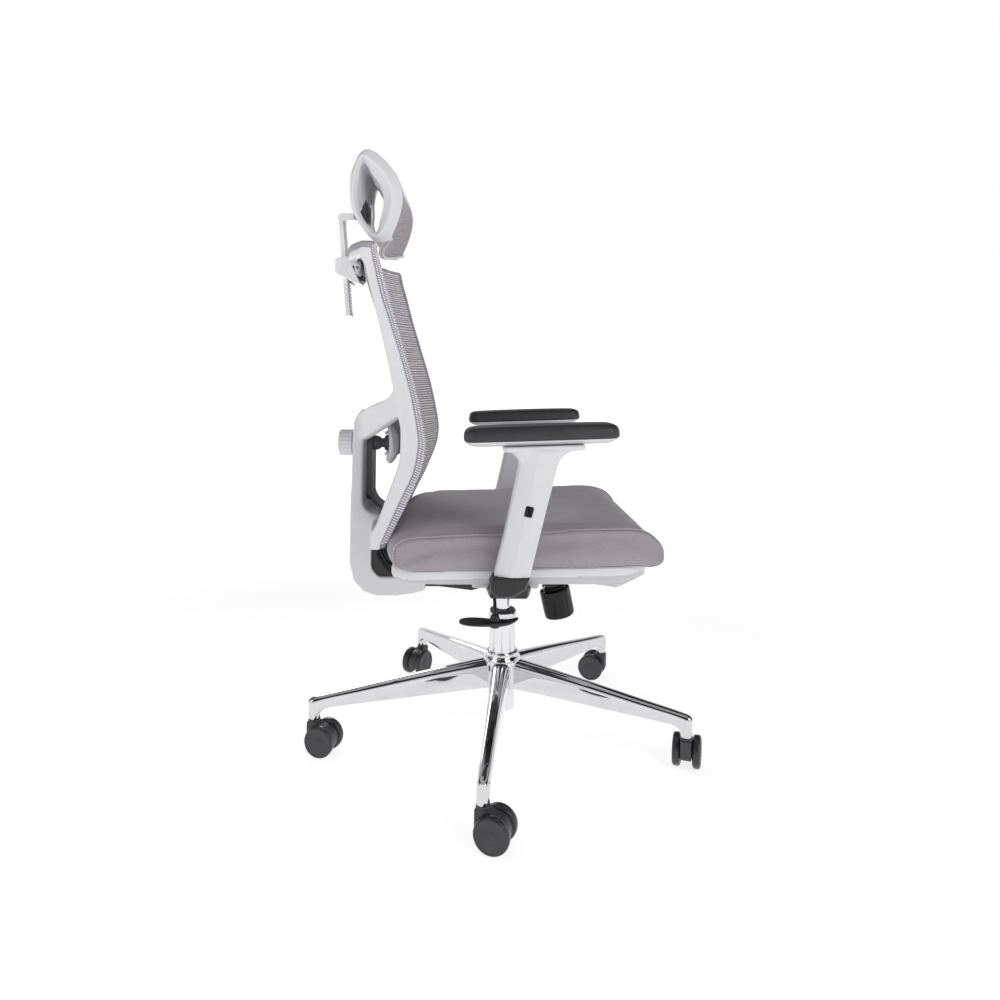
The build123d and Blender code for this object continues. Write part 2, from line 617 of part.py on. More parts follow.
# ---------------------------------------------------------------- lumbar support
with BuildPart() as lumbar_guide:
    with BuildSketch(Plane.YZ.offset(-262)) as guide_face:
        with Locations((0, 533)):
            RectangleRounded(56, 122, 20)
    extrude(amount=10)
    with BuildSketch(Plane.YZ.offset(-270)):
        with Locations((0, lumbar_z)):
            Circle(9 + run_gap)
    extrude(amount=30, mode=Mode.SUBTRACT)
lumbar_guide.part.label = "lumbar_guide"
export_step(lumbar_guide.part.moved(to_floor), "parts/lumbar_guide.step")

with BuildPart() as lumbar_knob:
    with BuildSketch(Plane.YZ.offset(-318)):
        with Locations((0, lumbar_z)):
            Circle(25)
    extrude(amount=25)
    fillet(lumbar_knob.edges().group_by(Axis.X)[0], 3)
    with BuildSketch(Plane.YZ.offset(-318)):
        with Locations((0, lumbar_z)):
            with PolarLocations(26.5, 20):
                Circle(2.6)
    extrude(amount=21, mode=Mode.SUBTRACT)
    with BuildSketch(Plane.YZ.offset(-294)):
        with Locations((0, lumbar_z)):
            Circle(19)
    extrude(amount=10.4)
    with BuildSketch(Plane.YZ.offset(-306)):
        with Locations((0, lumbar_z)):
            Circle(9 + run_gap)
    extrude(amount=40, mode=Mode.SUBTRACT)
lumbar_knob.part.label = "lumbar_knob"
export_step(lumbar_knob.part.moved(to_floor), "parts/lumbar_knob.step")

with BuildPart() as lumbar_rod:
    with BuildSketch(Plane.YZ.offset(-300)):
        with Locations((0, lumbar_z)):
            Circle(9)
    extrude(amount=77)
lumbar_rod.part.label = "lumbar_rod"
export_step(lumbar_rod.part.moved(to_floor), "parts/lumbar_rod.step")

with BuildPart() as lumbar_pad:
    with BuildSketch(Plane.XZ) as pad_side:
        Polygon((-223, 546), (-214, 535), (-205, 545), (-197, 565), (-195, 585), (-198, 605), (-206, 622), (-215, 628), (-223, 616), align=None)
    extrude(amount=95, both=True)
    fillet(lumbar_pad.edges().filter_by(lambda e: abs(abs(e.center().Y) - 95) < 0.1), 2)
lumbar_pad.part.label = "lumbar_pad"
export_step(lumbar_pad.part.moved(to_floor), "parts/lumbar_pad.step")

# ---------------------------------------------------------------- headrest
with BuildPart() as headrest_bar:
    with BuildSketch(bar_plane):
        Rectangle(bar_t, bar_w)
    extrude(amount=187)
    # adjustment notches on the front face
    with BuildSketch(Plane.XZ):
        for k in range(13):
            with Locations((bar_foot[0] + bar_t / 2 * bar_x[0] + bar_dir[0] * (10 + 6 * k), bar_foot[2] + bar_t / 2 * bar_x[2] + bar_dir[2] * (10 + 6 * k))):
                Circle(1.5)
    extrude(amount=30, both=True, mode=Mode.SUBTRACT)
    with BuildSketch(Plane.XZ):
        Polygon((-325, 1006), (-319, 1004), (-284, 1005), (-284, 1019), (-318, 1018), (-325, 1014), align=None)
    extrude(amount=17, both=True)
    with BuildSketch(Plane.XZ):
        with Locations((head_pivot_x, head_pivot_z)):
            Circle(9)
    extrude(amount=17, both=True)
    with BuildSketch(Plane.XZ):
        with Locations((head_pivot_x, head_pivot_z)):
            Circle(4 + run_gap)
    extrude(amount=30, both=True, mode=Mode.SUBTRACT)
headrest_bar.part.label = "headrest_bar"
export_step(headrest_bar.part.moved(to_floor), "parts/headrest_bar.step")

with BuildPart() as headrest_hinge:
    with BuildSketch(Plane.YZ.offset(-269)):
        with Locations((0, 1017)):
            RectangleRounded(80, 52, 8)
    extrude(amount=5)
    for side in (17.4, -25.4):
        with BuildSketch(Plane.XZ.offset(side)):
            Polygon((-293, 1012), (-290, 1021), (-269, 1030), (-267, 1030), (-267, 1000), (-269, 1000), (-290, 1003), align=None)
        extrude(amount=8)
    with BuildSketch(Plane.XZ):
        with Locations((head_pivot_x, head_pivot_z)):
            Circle(4)
    extrude(amount=20, both=True)
headrest_hinge.part.label = "headrest_hinge"
export_step(headrest_hinge.part.moved(to_floor), "parts/headrest_hinge.step")

with BuildPart() as headrest_frame:
    with BuildSketch(Plane.XZ):
        Polygon(*head_outer, align=None)
        Polygon(*head_hole, align=None, mode=Mode.SUBTRACT)
    extrude(amount=head_out, both=True)
    # open between the two side rings below the brow
    with BuildSketch(Plane.XZ):
        Polygon((-300, 930), (-180, 930), (-180, 1047), (-300, 1047), align=None)
    extrude(amount=head_in, both=True, mode=Mode.SUBTRACT)
    # lip under the mesh
    with BuildSketch(Plane.XZ):
        Polygon(*head_lip, align=None)
    extrude(amount=head_out - 6, both=True)
    # tongue that carries the hinge
    with BuildSketch(Plane.XZ):
        Polygon(*head_tongue, align=None)
    extrude(amount=40, both=True)
    with BuildSketch(Plane.XZ):
        Polygon((-300, 980), (-260, 980), (-260, 1045), (-300, 1045), align=None)
    extrude(amount=27, both=True, mode=Mode.SUBTRACT)
headrest_frame.part.label = "headrest_frame"
export_step(headrest_frame.part.moved(to_floor), "parts/headrest_frame.step")

with BuildPart() as headrest_mesh:
    for z, edge_x, hollow in head_rows:
        with BuildSketch(Plane.XY.offset(z)):
            with BuildLine():
                ThreePointArc((edge_x, -head_in + 0.4), (edge_x - hollow, 0), (edge_x, head_in - 0.4))
                Line((edge_x, head_in - 0.4), (edge_x - 2, head_in - 0.4))
                ThreePointArc((edge_x - 2, head_in - 0.4), (edge_x - 2 - hollow, 0), (edge_x - 2, -head_in + 0.4))
                Line((edge_x - 2, -head_in + 0.4), (edge_x, -head_in + 0.4))
            make_face()
    loft(ruled=True)
headrest_mesh.part.label = "headrest_mesh"
export_step(headrest_mesh.part.moved(to_floor), "parts/headrest_mesh.step")

# ---------------------------------------------------------------- casters
for k in range(5):
    a = math.radians(base_angle + 72 * k)
    place = Location((stem_radius_pos * math.cos(a), stem_radius_pos * math.sin(a), 0), (0, 0, caster_dirs[k]))
    with BuildPart() as caster_hood:
        with BuildSketch(Plane.XZ):
            with Locations((trail, wheel_r)):
                Circle(24)
            Polygon((-11, 57), (-11, 25), (-2, 21), (trail, wheel_r), (30, 49), (11, 57), align=None)
            with Locations((trail, 0)):
                Rectangle(80, 30, mode=Mode.SUBTRACT)
        extrude(amount=hood_w / 2, both=True)
        with BuildSketch(Plane.XY.offset(56.6)):
            Circle(11)
        extrude(amount=socket_lo - drop - 56.6)
        with BuildSketch(Plane.XY.offset(41.5)):
            Circle(stem_r + run_gap)
        extrude(amount=30, mode=Mode.SUBTRACT)
        with BuildSketch(Plane.XZ):
            with Locations((trail, wheel_r)):
                Circle(4)
        extrude(amount=30, both=True, mode=Mode.SUBTRACT)
    with BuildPart() as caster_axle:
        with BuildSketch(Plane.XZ):
            with Locations((trail, wheel_r)):
                Circle(4)
        extrude(amount=21.5, both=True)
    caster_node = Compound(label="caster_%d" % (k + 1), children=[caster_hood.part.moved(place), caster_axle.part.moved(place)])
    export_step(caster_node, "parts/caster_%d.step" % (k + 1))
    for side, name in ((1, "a"), (-1, "b")):
        with BuildPart() as caster_wheel:
            with BuildSketch(Plane.XZ.offset(side * (hood_w / 2 + 0.5))):
                with Locations((trail, wheel_r)):
                    Circle(wheel_r)
            extrude(amount=side * wheel_w)
            fillet(caster_wheel.edges().filter_by(GeomType.CIRCLE), 3.5)
            with BuildSketch(Plane.XZ.offset(side * (hood_w / 2))):
                with Locations((trail, wheel_r)):
                    Circle(4 + run_gap)
            extrude(amount=side * 14, mode=Mode.SUBTRACT)
        wheel_node = caster_wheel.part.moved(place)
        wheel_node.label = "caster_%d_wheel_%s" % (k + 1, name)
        export_step(wheel_node, "parts/caster_%d_wheel_%s.step" % (k + 1, name))
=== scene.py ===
"""Looks of the swivel office chair, built around its fixed frame. Lengths in the code are millimetres unless a name says otherwise."""
import math

import bmesh
import bpy
import numpy as np
from mathutils import Matrix, Vector
from mathutils.bvhtree import BVHTree


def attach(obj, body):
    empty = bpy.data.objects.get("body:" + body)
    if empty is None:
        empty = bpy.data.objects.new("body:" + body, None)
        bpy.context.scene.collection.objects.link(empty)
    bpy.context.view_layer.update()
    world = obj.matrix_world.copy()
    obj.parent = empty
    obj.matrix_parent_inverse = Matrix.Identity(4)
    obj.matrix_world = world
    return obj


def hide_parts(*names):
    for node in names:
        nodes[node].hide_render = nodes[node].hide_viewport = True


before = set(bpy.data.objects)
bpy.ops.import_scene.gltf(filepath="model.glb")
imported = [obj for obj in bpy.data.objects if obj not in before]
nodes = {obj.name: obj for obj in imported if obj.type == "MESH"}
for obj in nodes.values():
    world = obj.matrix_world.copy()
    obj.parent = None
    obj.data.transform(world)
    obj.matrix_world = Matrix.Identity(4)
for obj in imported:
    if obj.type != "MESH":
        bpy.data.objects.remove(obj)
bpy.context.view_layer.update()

scene = bpy.context.scene
MM = 0.001


# ------------------------------------------------------------------ curves and outlines
def smooth_line(pts, n, closed=False):
    """Points on a smooth curve through pts, n of them, evenly spaced."""
    p = np.asarray(pts, float)
    m = len(p)
    out = []
    spans = m if closed else m - 1
    for i in range(spans):
        if closed:
            q = [p[(i + k) % m] for k in (-1, 0, 1, 2)]
        else:
            a = p[i - 1] if i > 0 else 2 * p[0] - p[1]
            d = p[i + 2] if i + 2 < m else 2 * p[-1] - p[-2]
            q = [a, p[i], p[i + 1], d]
        t = [0.0]
        for k in range(3):
            t.append(t[-1] + max(np.linalg.norm(q[k + 1] - q[k]) ** 0.5, 1e-6))
        for s in np.linspace(t[1], t[2], 14, endpoint=False):
            a1 = (t[1] - s) / (t[1] - t[0]) * q[0] + (s - t[0]) / (t[1] - t[0]) * q[1]
            a2 = (t[2] - s) / (t[2] - t[1]) * q[1] + (s - t[1]) / (t[2] - t[1]) * q[2]
            a3 = (t[3] - s) / (t[3] - t[2]) * q[2] + (s - t[2]) / (t[3] - t[2]) * q[3]
            b1 = (t[2] - s) / (t[2] - t[0]) * a1 + (s - t[0]) / (t[2] - t[0]) * a2
            b2 = (t[3] - s) / (t[3] - t[1]) * a2 + (s - t[1]) / (t[3] - t[1]) * a3
            out.append((t[2] - s) / (t[2] - t[1]) * b1 + (s - t[1]) / (t[2] - t[1]) * b2)
    out.append(p[0] if closed else p[-1])
    return even(np.array(out), n, closed)


def even(line, n, closed=False):
    along = np.concatenate([[0], np.cumsum(np.linalg.norm(np.diff(line, axis=0), axis=1))])
    at = np.linspace(0, along[-1], n, endpoint=not closed)
    return np.stack([np.interp(at, along, line[:, k]) for k in range(line.shape[1])], 1)


def curve_of(pairs):
    """A smooth function through (position, value...) rows."""
    a = np.array(pairs, float)
    dense = smooth_line(a, 400)
    order = np.argsort(dense[:, 0])
    dense = dense[order]
    return lambda x: np.stack([np.interp(x, dense[:, 0], dense[:, k]) for k in range(1, a.shape[1])], -1)


def rounded(pts, radius, seg=6):
    """A closed polygon with its corners rounded; radius is one number or one for each corner."""
    p = np.asarray(pts, float)
    m = len(p)
    rad = [radius] * m if np.isscalar(radius) else list(radius)
    out = []
    for i in range(m):
        a, b, c = p[i - 1], p[i], p[(i + 1) % m]
        u, v = (a - b), (c - b)
        lu, lv = np.linalg.norm(u), np.linalg.norm(v)
        u, v = u / lu, v / lv
        half = math.acos(max(-1, min(1, float(u @ v)))) / 2
        r = rad[i]
        if r <= 0 or half > 1.55:
            out.append(b)
            continue
        cut = min(r / math.tan(half), 0.48 * lu, 0.48 * lv)
        r = cut * math.tan(half)
        mid = (u + v) / np.linalg.norm(u + v)
        centre = b + mid * r / math.sin(half)
        s, e = b + u * cut - centre, b + v * cut - centre
        turn = math.acos(max(-1, min(1, float(s @ e) / (r * r))))
        for k in range(seg + 1):
            f = k / seg
            out.append(centre + (math.sin((1 - f) * turn) * s + math.sin(f * turn) * e) / math.sin(turn))
    return np.array(out)


def inset(loop, amount):
    """A closed 2-D loop moved inwards along its normals; amount is one number or one for each point."""
    p = np.asarray(loop, float)
    t = np.roll(p, -1, 0) - np.roll(p, 1, 0)
    nrm = np.stack([-t[:, 1], t[:, 0]], 1)
    nrm /= np.maximum(np.linalg.norm(nrm, axis=1, keepdims=True), 1e-9)
    area = 0.5 * np.sum(p[:, 0] * np.roll(p[:, 1], -1) - np.roll(p[:, 0], -1) * p[:, 1])
    return p + nrm * (np.sign(area) * np.asarray(amount)).reshape(-1, 1)


# ------------------------------------------------------------------ meshes
class Shape:
    """Vertices and faces gathered in millimetres, then made into one object."""

    def __init__(self):
        self.v, self.f = [], []

    def rings(self, rings, caps=(True, True), loop=False, closed=True):
        base, n, m = len(self.v), len(rings[0]), len(rings)
        for r in rings:
            self.v += [tuple(map(float, p)) for p in r]
        for i in range(m if loop else m - 1):
            a, b = base + i * n, base + ((i + 1) % m) * n
            for j in range(n if closed else n - 1):
                k = (j + 1) % n
                self.f.append((a + j, a + k, b + k, b + j))
        if not loop and closed:
            if caps[0]:
                self.f.append(tuple(base + j for j in range(n - 1, -1, -1)))
            if caps[1]:
                self.f.append(tuple(base + (m - 1) * n + j for j in range(n)))
        return self

    def lathe(self, profile, place=Matrix.Identity(4), seg=48, axis="Z"):
        """profile is (radius, height) rows; the axis is local."""
        rings = []
        for r, h in profile:
            a = np.linspace(0, 2 * math.pi, seg, endpoint=False)
            x, y, z = r * np.cos(a), r * np.sin(a), np.full(seg, float(h))
            pts = {"Z": (x, y, z), "Y": (x, z, y), "X": (z, x, y)}[axis]
            pts = np.stack(pts, 1)
            rings.append([place @ Vector(p) for p in pts])
        return self.rings([np.array([tuple(q) for q in r]) for r in rings])

    def prism_y(self, loop, y0, y1, r=0.0, seg=4):
        """A closed (x, z) loop drawn out along Y from y0 to y1, with ends rounded by r."""
        rings = []
        d = 1 if y1 > y0 else -1
        if r > 0:
            for k in range(seg + 1):
                t = k / seg * math.pi / 2
                q = inset(loop, r * (1 - math.sin(t)))
                rings.append(np.stack([q[:, 0], np.full(len(q), y0 + d * r * (1 - math.cos(t))), q[:, 1]], 1))
            for k in range(seg, -1, -1):
                t = k / seg * math.pi / 2
                q = inset(loop, r * (1 - math.sin(t)))
                rings.append(np.stack([q[:, 0], np.full(len(q), y1 - d * r * (1 - math.cos(t))), q[:, 1]], 1))
        else:
            q = np.asarray(loop, float)
            rings = [np.stack([q[:, 0], np.full(len(q), y), q[:, 1]], 1) for y in (y0, y1)]
        return self.rings(rings)

    def capsule(self, a, b, r, seg=8, flat=1.0, up=(0, 0, 1)):
        """A short rounded bar from a to b, such as one stitch."""
        a, b = np.asarray(a, float), np.asarray(b, float)
        d = b - a
        length = np.linalg.norm(d)
        d = d / length
        up = np.asarray(up, float)
        side = np.cross(d, up)
        side /= max(np.linalg.norm(side), 1e-9)
        top = np.cross(side, d)
        rings = []
        ang = np.linspace(0, 2 * math.pi, seg, endpoint=False)
        for f, s in ((-0.9, 0.35), (-0.55, 0.8), (0.0, 1.0)):
            c = a + d * r * (1 + f)
            rings.append(c + r * s * (np.outer(np.cos(ang), side) + flat * np.outer(np.sin(ang), top)))
        for f, s in ((0.0, 1.0), (0.55, 0.8), (0.9, 0.35)):
            c = b - d * r * (1 - f)
            rings.append(c + r * s * (np.outer(np.cos(ang), side) + flat * np.outer(np.sin(ang), top)))
        return self.rings(rings)

    def mirrored(self):
        n = len(self.v)
        self.v += [(x, -y, z) for x, y, z in self.v]
        self.f += [tuple(n + i for i in reversed(f)) for f in self.f]
        return self

    def make(self, name, material, sharp=40.0):
        me = bpy.data.meshes.new(name)
        me.from_pydata([(x * MM, y * MM, z * MM) for x, y, z in self.v], [], self.f)
        bm = bmesh.new()
        bm.from_mesh(me)
        bmesh.ops.remove_doubles(bm, verts=bm.verts, dist=2e-6)
        bmesh.ops.recalc_face_normals(bm, faces=bm.faces)
        bm.to_mesh(me)
        bm.free()
        finish_shading(me, sharp)
        o = bpy.data.objects.new(name, me)
        scene.collection.objects.link(o)
        if material:
            me.materials.append(material)
        return o


def finish_shading(me, sharp):
    me.polygons.foreach_set("use_smooth", [True] * len(me.polygons))
    if sharp:
        me.set_sharp_from_angle(angle=math.radians(sharp))
    me.update()


def baked(o):
    """Applies the object's modifiers to its mesh."""
    dg = bpy.context.evaluated_depsgraph_get()
    me = bpy.data.meshes.new_from_object(o.evaluated_get(dg))
    old = o.data
    o.modifiers.clear()
    o.data = me
    me.name = o.name
    bpy.data.meshes.remove(old)
    return o


def moulded(o, voxel, smooth, sharp=0.0, factor=0.5):
    """Joins the closed shapes in o into one skin and softens its edges, as on a moulding."""
    m = o.modifiers.new("skin", "REMESH")
    m.mode = "VOXEL"
    m.voxel_size = voxel * MM
    if smooth:
        s = o.modifiers.new("soften", "SMOOTH")
        s.factor = factor
        s.iterations = smooth
    mats = [x for x in o.data.materials]
    baked(o)
    o.data.materials.clear()
    for x in mats:
        o.data.materials.append(x)
    finish_shading(o.data, sharp)
    return o


def cut(o, tool):
    """Takes the tool's volume out of o and removes the tool."""
    b = o.modifiers.new("cut", "BOOLEAN")
    b.operation = "DIFFERENCE"
    b.solver = "EXACT"
    b.object = tool
    tool.hide_render = True
    baked(o)
    bpy.data.objects.remove(tool)
    return o


def surface_of(o):
    bm = bmesh.new()
    bm.from_mesh(o.data)
    tree = BVHTree.FromBMesh(bm)
    bm.free()
    return tree


def onto(tree, p):
    """The nearest point of a surface and its normal, in millimetres."""
    q, nrm, _, _ = tree.find_nearest(Vector(tuple(x * MM for x in p)))
    return np.array(q) / MM, np.array(nrm)


# ------------------------------------------------------------------ materials
class Mat:
    def __init__(self, name, color, rough, metallic=0.0, **sockets):
        self.m = bpy.data.materials.new(name)
        self.m.use_nodes = True
        self.t = self.m.node_tree
        self.b = self.t.nodes["Principled BSDF"]
        self.b.inputs["Base Color"].default_value = (*color, 1)
        self.b.inputs["Roughness"].default_value = rough
        self.b.inputs["Metallic"].default_value = metallic
        for k, v in sockets.items():
            self.b.inputs[k.replace("_", " ")].default_value = v
        self.coord = self.node("ShaderNodeTexCoord").outputs["Object"]

    def node(self, kind, **values):
        n = self.t.nodes.new(kind)
        for k, v in values.items():
            setattr(n, k, v)
        return n

    def link(self, a, b):
        self.t.links.new(a, b)

    def noise(self, scale, detail=4.0, rough=0.55, stretch=None):
        n = self.node("ShaderNodeTexNoise")
        n.inputs["Scale"].default_value = scale
        n.inputs["Detail"].default_value = detail
        n.inputs["Roughness"].default_value = rough
        if stretch:
            m = self.node("ShaderNodeMapping")
            m.inputs["Scale"].default_value = stretch
            self.link(self.coord, m.inputs["Vector"])
            self.link(m.outputs["Vector"], n.inputs["Vector"])
        else:
            self.link(self.coord, n.inputs["Vector"])
        return n.outputs["Fac"]

    def wave(self, scale, axis, distortion=0.0, detail_scale=1.0, profile="SIN"):
        w = self.node("ShaderNodeTexWave", wave_type="BANDS", bands_direction=axis, wave_profile=profile)
        w.inputs["Scale"].default_value = scale
        w.inputs["Distortion"].default_value = distortion
        w.inputs["Detail"].default_value = 2.0
        w.inputs["Detail Scale"].default_value = detail_scale
        self.link(self.coord, w.inputs["Vector"])
        return w.outputs["Fac"]

    def ramp(self, fac, stops):
        r = self.node("ShaderNodeValToRGB")
        while len(r.color_ramp.elements) < len(stops):
            r.color_ramp.elements.new(0.5)
        for e, (at, c) in zip(r.color_ramp.elements, stops):
            e.position = at
            e.color = (*c, 1)
        self.link(fac, r.inputs["Fac"])
        return r.outputs["Color"]

    def math(self, op, a, b):
        n = self.node("ShaderNodeMath", operation=op)
        for s, x in zip(n.inputs, (a, b)):
            if hasattr(x, "links"):
                self.link(x, s)
            else:
                s.default_value = x
        return n.outputs[0]

    def span(self, fac, low, high):
        n = self.node("ShaderNodeMapRange")
        n.inputs["To Min"].default_value = low
        n.inputs["To Max"].default_value = high
        self.link(fac, n.inputs["Value"])
        return n.outputs["Result"]

    def color(self, out):
        self.link(out, self.b.inputs["Base Color"])
        return self

    def rough(self, out):
        self.link(out, self.b.inputs["Roughness"])
        return self

    def bump(self, height, strength, distance, after=None):
        n = self.node("ShaderNodeBump")
        n.inputs["Strength"].default_value = strength
        n.inputs["Distance"].default_value = distance * MM
        self.link(height, n.inputs["Height"])
        if after is not None:
            self.link(after, n.inputs["Normal"])
        self.link(n.outputs["Normal"], self.b.inputs["Normal"])
        return n.outputs["Normal"]


def shade(c, k):
    return tuple(max(0.0, min(1.0, x * k)) for x in c)


def plastic(name, color, rough, grain=2200, depth=0.10, vary=0.04, **sockets):
    """Moulded plastic: a fine spark-eroded grain, slight cloudiness and uneven gloss."""
    m = Mat(name, color, rough, **sockets)
    cloud = m.noise(38, 5)
    m.color(m.ramp(cloud, [(0.3, shade(color, 1 - vary)), (0.7, shade(color, 1 + vary))]))
    m.rough(m.span(m.noise(260, 4), rough - 0.06, rough + 0.06))
    m.bump(m.noise(grain, 2), 0.5, depth)
    return m.m


def metal(name, color, rough, smudge=0.04, metallic=1.0, **sockets):
    """Polished or plain metal: faint haze and fine polishing marks."""
    m = Mat(name, color, rough, metallic, **sockets)
    haze = m.noise(45, 6)
    m.color(m.ramp(haze, [(0.3, shade(color, 0.96)), (0.7, shade(color, 1.03))]))
    m.rough(m.span(m.noise(120, 5), max(0.01, rough - smudge), rough + smudge))
    m.bump(m.noise(900, 2), 0.04, 0.02)
    return m.m


WHITE = (0.70, 0.70, 0.725)
mat_white = plastic("white_plastic", WHITE, 0.42, grain=1900, depth=0.07, vary=0.02)
# a lighter copy of the white plastic: painted light for the headrest bar and clamp, which sit in shade behind the
# back frame
mat_white_painted_light = plastic("white_plastic_painted_light", (0.88, 0.88, 0.90), 0.42, grain=1900, depth=0.07, vary=0.02)
# a darker copy of the white plastic: painted shade for the downward faces under the pan
mat_white_shaded_under = plastic("white_plastic_painted_under_shade", (0.52, 0.52, 0.54), 0.5, grain=1900, depth=0.08, vary=0.03)
mat_chrome = metal("chrome", (0.69, 0.69, 0.71), 0.05, smudge=0.02)
mat_tube = metal("chrome_tube", (0.80, 0.80, 0.82), 0.09, smudge=0.03)
mat_steel = metal("plain_steel", (0.55, 0.55, 0.57), 0.32, smudge=0.08)
mat_black = plastic("black_plastic", (0.014, 0.014, 0.0155), 0.46, grain=1600, depth=0.10, vary=0.12)
mat_gloss = plastic("gloss_black", (0.006, 0.006, 0.007), 0.22, grain=2600, depth=0.006, vary=0.12, Specular_IOR_Level=0.32)
mat_metal = plastic("black_powder_coat", (0.026, 0.026, 0.028), 0.55, grain=1200, depth=0.14, vary=0.12)
mat_grey = plastic("grey_plastic", (0.13, 0.13, 0.14), 0.5, grain=1700, depth=0.08, vary=0.08)
mat_hinge = plastic("hinge_casting", (0.060, 0.060, 0.065), 0.24, grain=900, depth=0.16, vary=0.25)
mat_pale = plastic("pale_grey_plastic", (0.55, 0.55, 0.57), 0.5, grain=1700, depth=0.08, vary=0.05)
mat_wheel = plastic("caster_nylon", (0.042, 0.042, 0.047), 0.5, grain=1500, depth=0.10, vary=0.10)
mat_tread = plastic("caster_tread", (0.030, 0.030, 0.033), 0.28, grain=2400, depth=0.03, vary=0.10)
mat_hood = plastic("caster_hood", (0.040, 0.040, 0.043), 0.38, grain=1800, depth=0.06, vary=0.10)


def board_material():
    m = Mat("plywood", (0.5, 0.36, 0.22), 0.6)
    grain = m.noise(60, 8, 0.6, stretch=(1, 12, 60))
    m.color(m.ramp(grain, [(0.3, (0.38, 0.26, 0.15)), (0.55, (0.52, 0.38, 0.24)), (0.8, (0.60, 0.45, 0.30))]))
    m.bump(grain, 0.2, 0.2)
    return m.m


def pad_material():
    """Skinned foam of the arm pads: fine leather-like pores and a soft sheen."""
    m = Mat("pad_skin", (0.029, 0.029, 0.032), 0.5)
    v = m.node("ShaderNodeTexVoronoi")
    v.inputs["Scale"].default_value = 900
    m.link(m.coord, v.inputs["Vector"])
    cloud = m.noise(30, 5)
    m.color(m.ramp(cloud, [(0.3, (0.024, 0.024, 0.027)), (0.7, (0.034, 0.034, 0.037))]))
    m.rough(m.span(m.noise(180, 4), 0.42, 0.56))
    first = m.bump(v.outputs["Distance"], 0.35, 0.25)
    m.bump(m.noise(70, 3), 0.12, 0.5, after=first)
    return m.m


def weave_material(name, light, dark, pitch, rough=0.85, sheen=0.25, axes=("X", "Y", "Z")):
    """Plain-woven cloth: two crossing thread directions picked by the surface's direction, with slubs and melange."""
    m = Mat(name, light, rough, **{"Sheen_Weight": sheen, "Sheen_Roughness": 0.5})
    scale = 2 * math.pi / (pitch * MM) / (2 * math.pi) * 0.5 / 3.18
    a = m.wave(scale * 3.18, "X", 0.6, 40)
    b = m.wave(scale * 3.18, "Y", 0.6, 40)
    c = m.wave(scale * 3.18, "Z", 0.6, 40)
    geo = m.node("ShaderNodeNewGeometry")
    sep = m.node("ShaderNodeSeparateXYZ")
    tc = [n for n in m.t.nodes if n.type == "TEX_COORD"][0]
    m.link(tc.outputs["Normal"], sep.inputs[0])
    m.t.nodes.remove(geo)
    nx, ny, nz = (m.math("ABSOLUTE", sep.outputs[k], 0.0) for k in range(3))
    up = m.math("GREATER_THAN", nz, 0.6)
    side = m.math("GREATER_THAN", ny, 0.6)
    ab = m.math("MULTIPLY", a, b)
    ac = m.math("MULTIPLY", a, c)
    bc = m.math("MULTIPLY", b, c)
    first = m.node("ShaderNodeMix", data_type="FLOAT")
    m.link(side, first.inputs["Factor"]); m.link(bc, first.inputs["A"]); m.link(ac, first.inputs["B"])
    second = m.node("ShaderNodeMix", data_type="FLOAT")
    m.link(up, second.inputs["Factor"]); m.link(first.outputs["Result"], second.inputs["A"]); m.link(ab, second.inputs["B"])
    thread = second.outputs["Result"]
    slub = m.noise(420, 4, 0.6)
    cloud = m.noise(26, 4)
    mix = m.math("ADD", m.math("MULTIPLY", thread, 0.45), m.math("MULTIPLY", slub, 0.55))
    mix = m.math("ADD", mix, m.math("MULTIPLY", m.math("SUBTRACT", cloud, 0.5), 0.25))
    m.color(m.ramp(mix, [(0.18, dark), (0.42, tuple((x + y) / 2 for x, y in zip(light, dark))), (0.72, light)]))
    n1 = m.bump(thread, 0.35, 0.25)
    m.bump(slub, 0.25, 0.2, after=n1)
    return m.m


def rib_material(name, light, dark, rough=0.8, sheen=0.2, fine=1100.0):
    """Knitted mesh cloth: fine threads across and along, darker where it thins."""
    m = Mat(name, light, rough, **{"Sheen_Weight": sheen, "Sheen_Roughness": 0.5})
    thread = m.noise(fine, 3, 0.6, stretch=(1, 1, 2.5))
    cloud = m.noise(60, 4, 0.6, stretch=(0.4, 0.4, 4))
    mix = m.math("ADD", m.math("MULTIPLY", thread, 0.6), m.math("MULTIPLY", cloud, 0.4))
    m.color(m.ramp(mix, [(0.33, dark), (0.5, tuple((x + y) / 2 for x, y in zip(light, dark))), (0.64, light)]))
    m.bump(thread, 0.4, 0.3)
    return m.m


mat_board = board_material()
mat_pad = pad_material()
mat_seat = weave_material("seat_cloth", (0.425, 0.385, 0.425), (0.275, 0.247, 0.275), 1.3)
mat_mesh = rib_material("back_mesh_cloth", (0.78, 0.735, 0.78), (0.52, 0.48, 0.52))
mat_head_mesh = rib_material("headrest_mesh_cloth", (0.42, 0.39, 0.42), (0.24, 0.22, 0.24))
# the two gap cloths are dark: painted shade for the open gaps between the mesh ribs
mat_head_gap_shade = rib_material("headrest_mesh_gap_painted_shade", (0.10, 0.09, 0.10), (0.05, 0.045, 0.05))
mat_gap_shade = rib_material("back_mesh_gap_painted_shade", (0.20, 0.18, 0.195), (0.10, 0.09, 0.10))
mat_bead = rib_material("edge_stitch", (0.88, 0.855, 0.93), (0.64, 0.62, 0.69), fine=1600.0)
mat_ribs = rib_material("edge_ribs", (0.42, 0.40, 0.455), (0.22, 0.205, 0.245), fine=1600.0)
mat_band = rib_material("edge_band", (0.32, 0.30, 0.335), (0.18, 0.165, 0.19), fine=1400.0)
mat_thread = rib_material("pale_thread", (0.66, 0.62, 0.67), (0.48, 0.44, 0.49), fine=2600.0)
mat_seam = rib_material("seam_shadow", (0.20, 0.175, 0.195), (0.13, 0.11, 0.125), fine=1800.0)


DROP = 21.0   # heights of everything above the casters are counted from a level this far below the floor


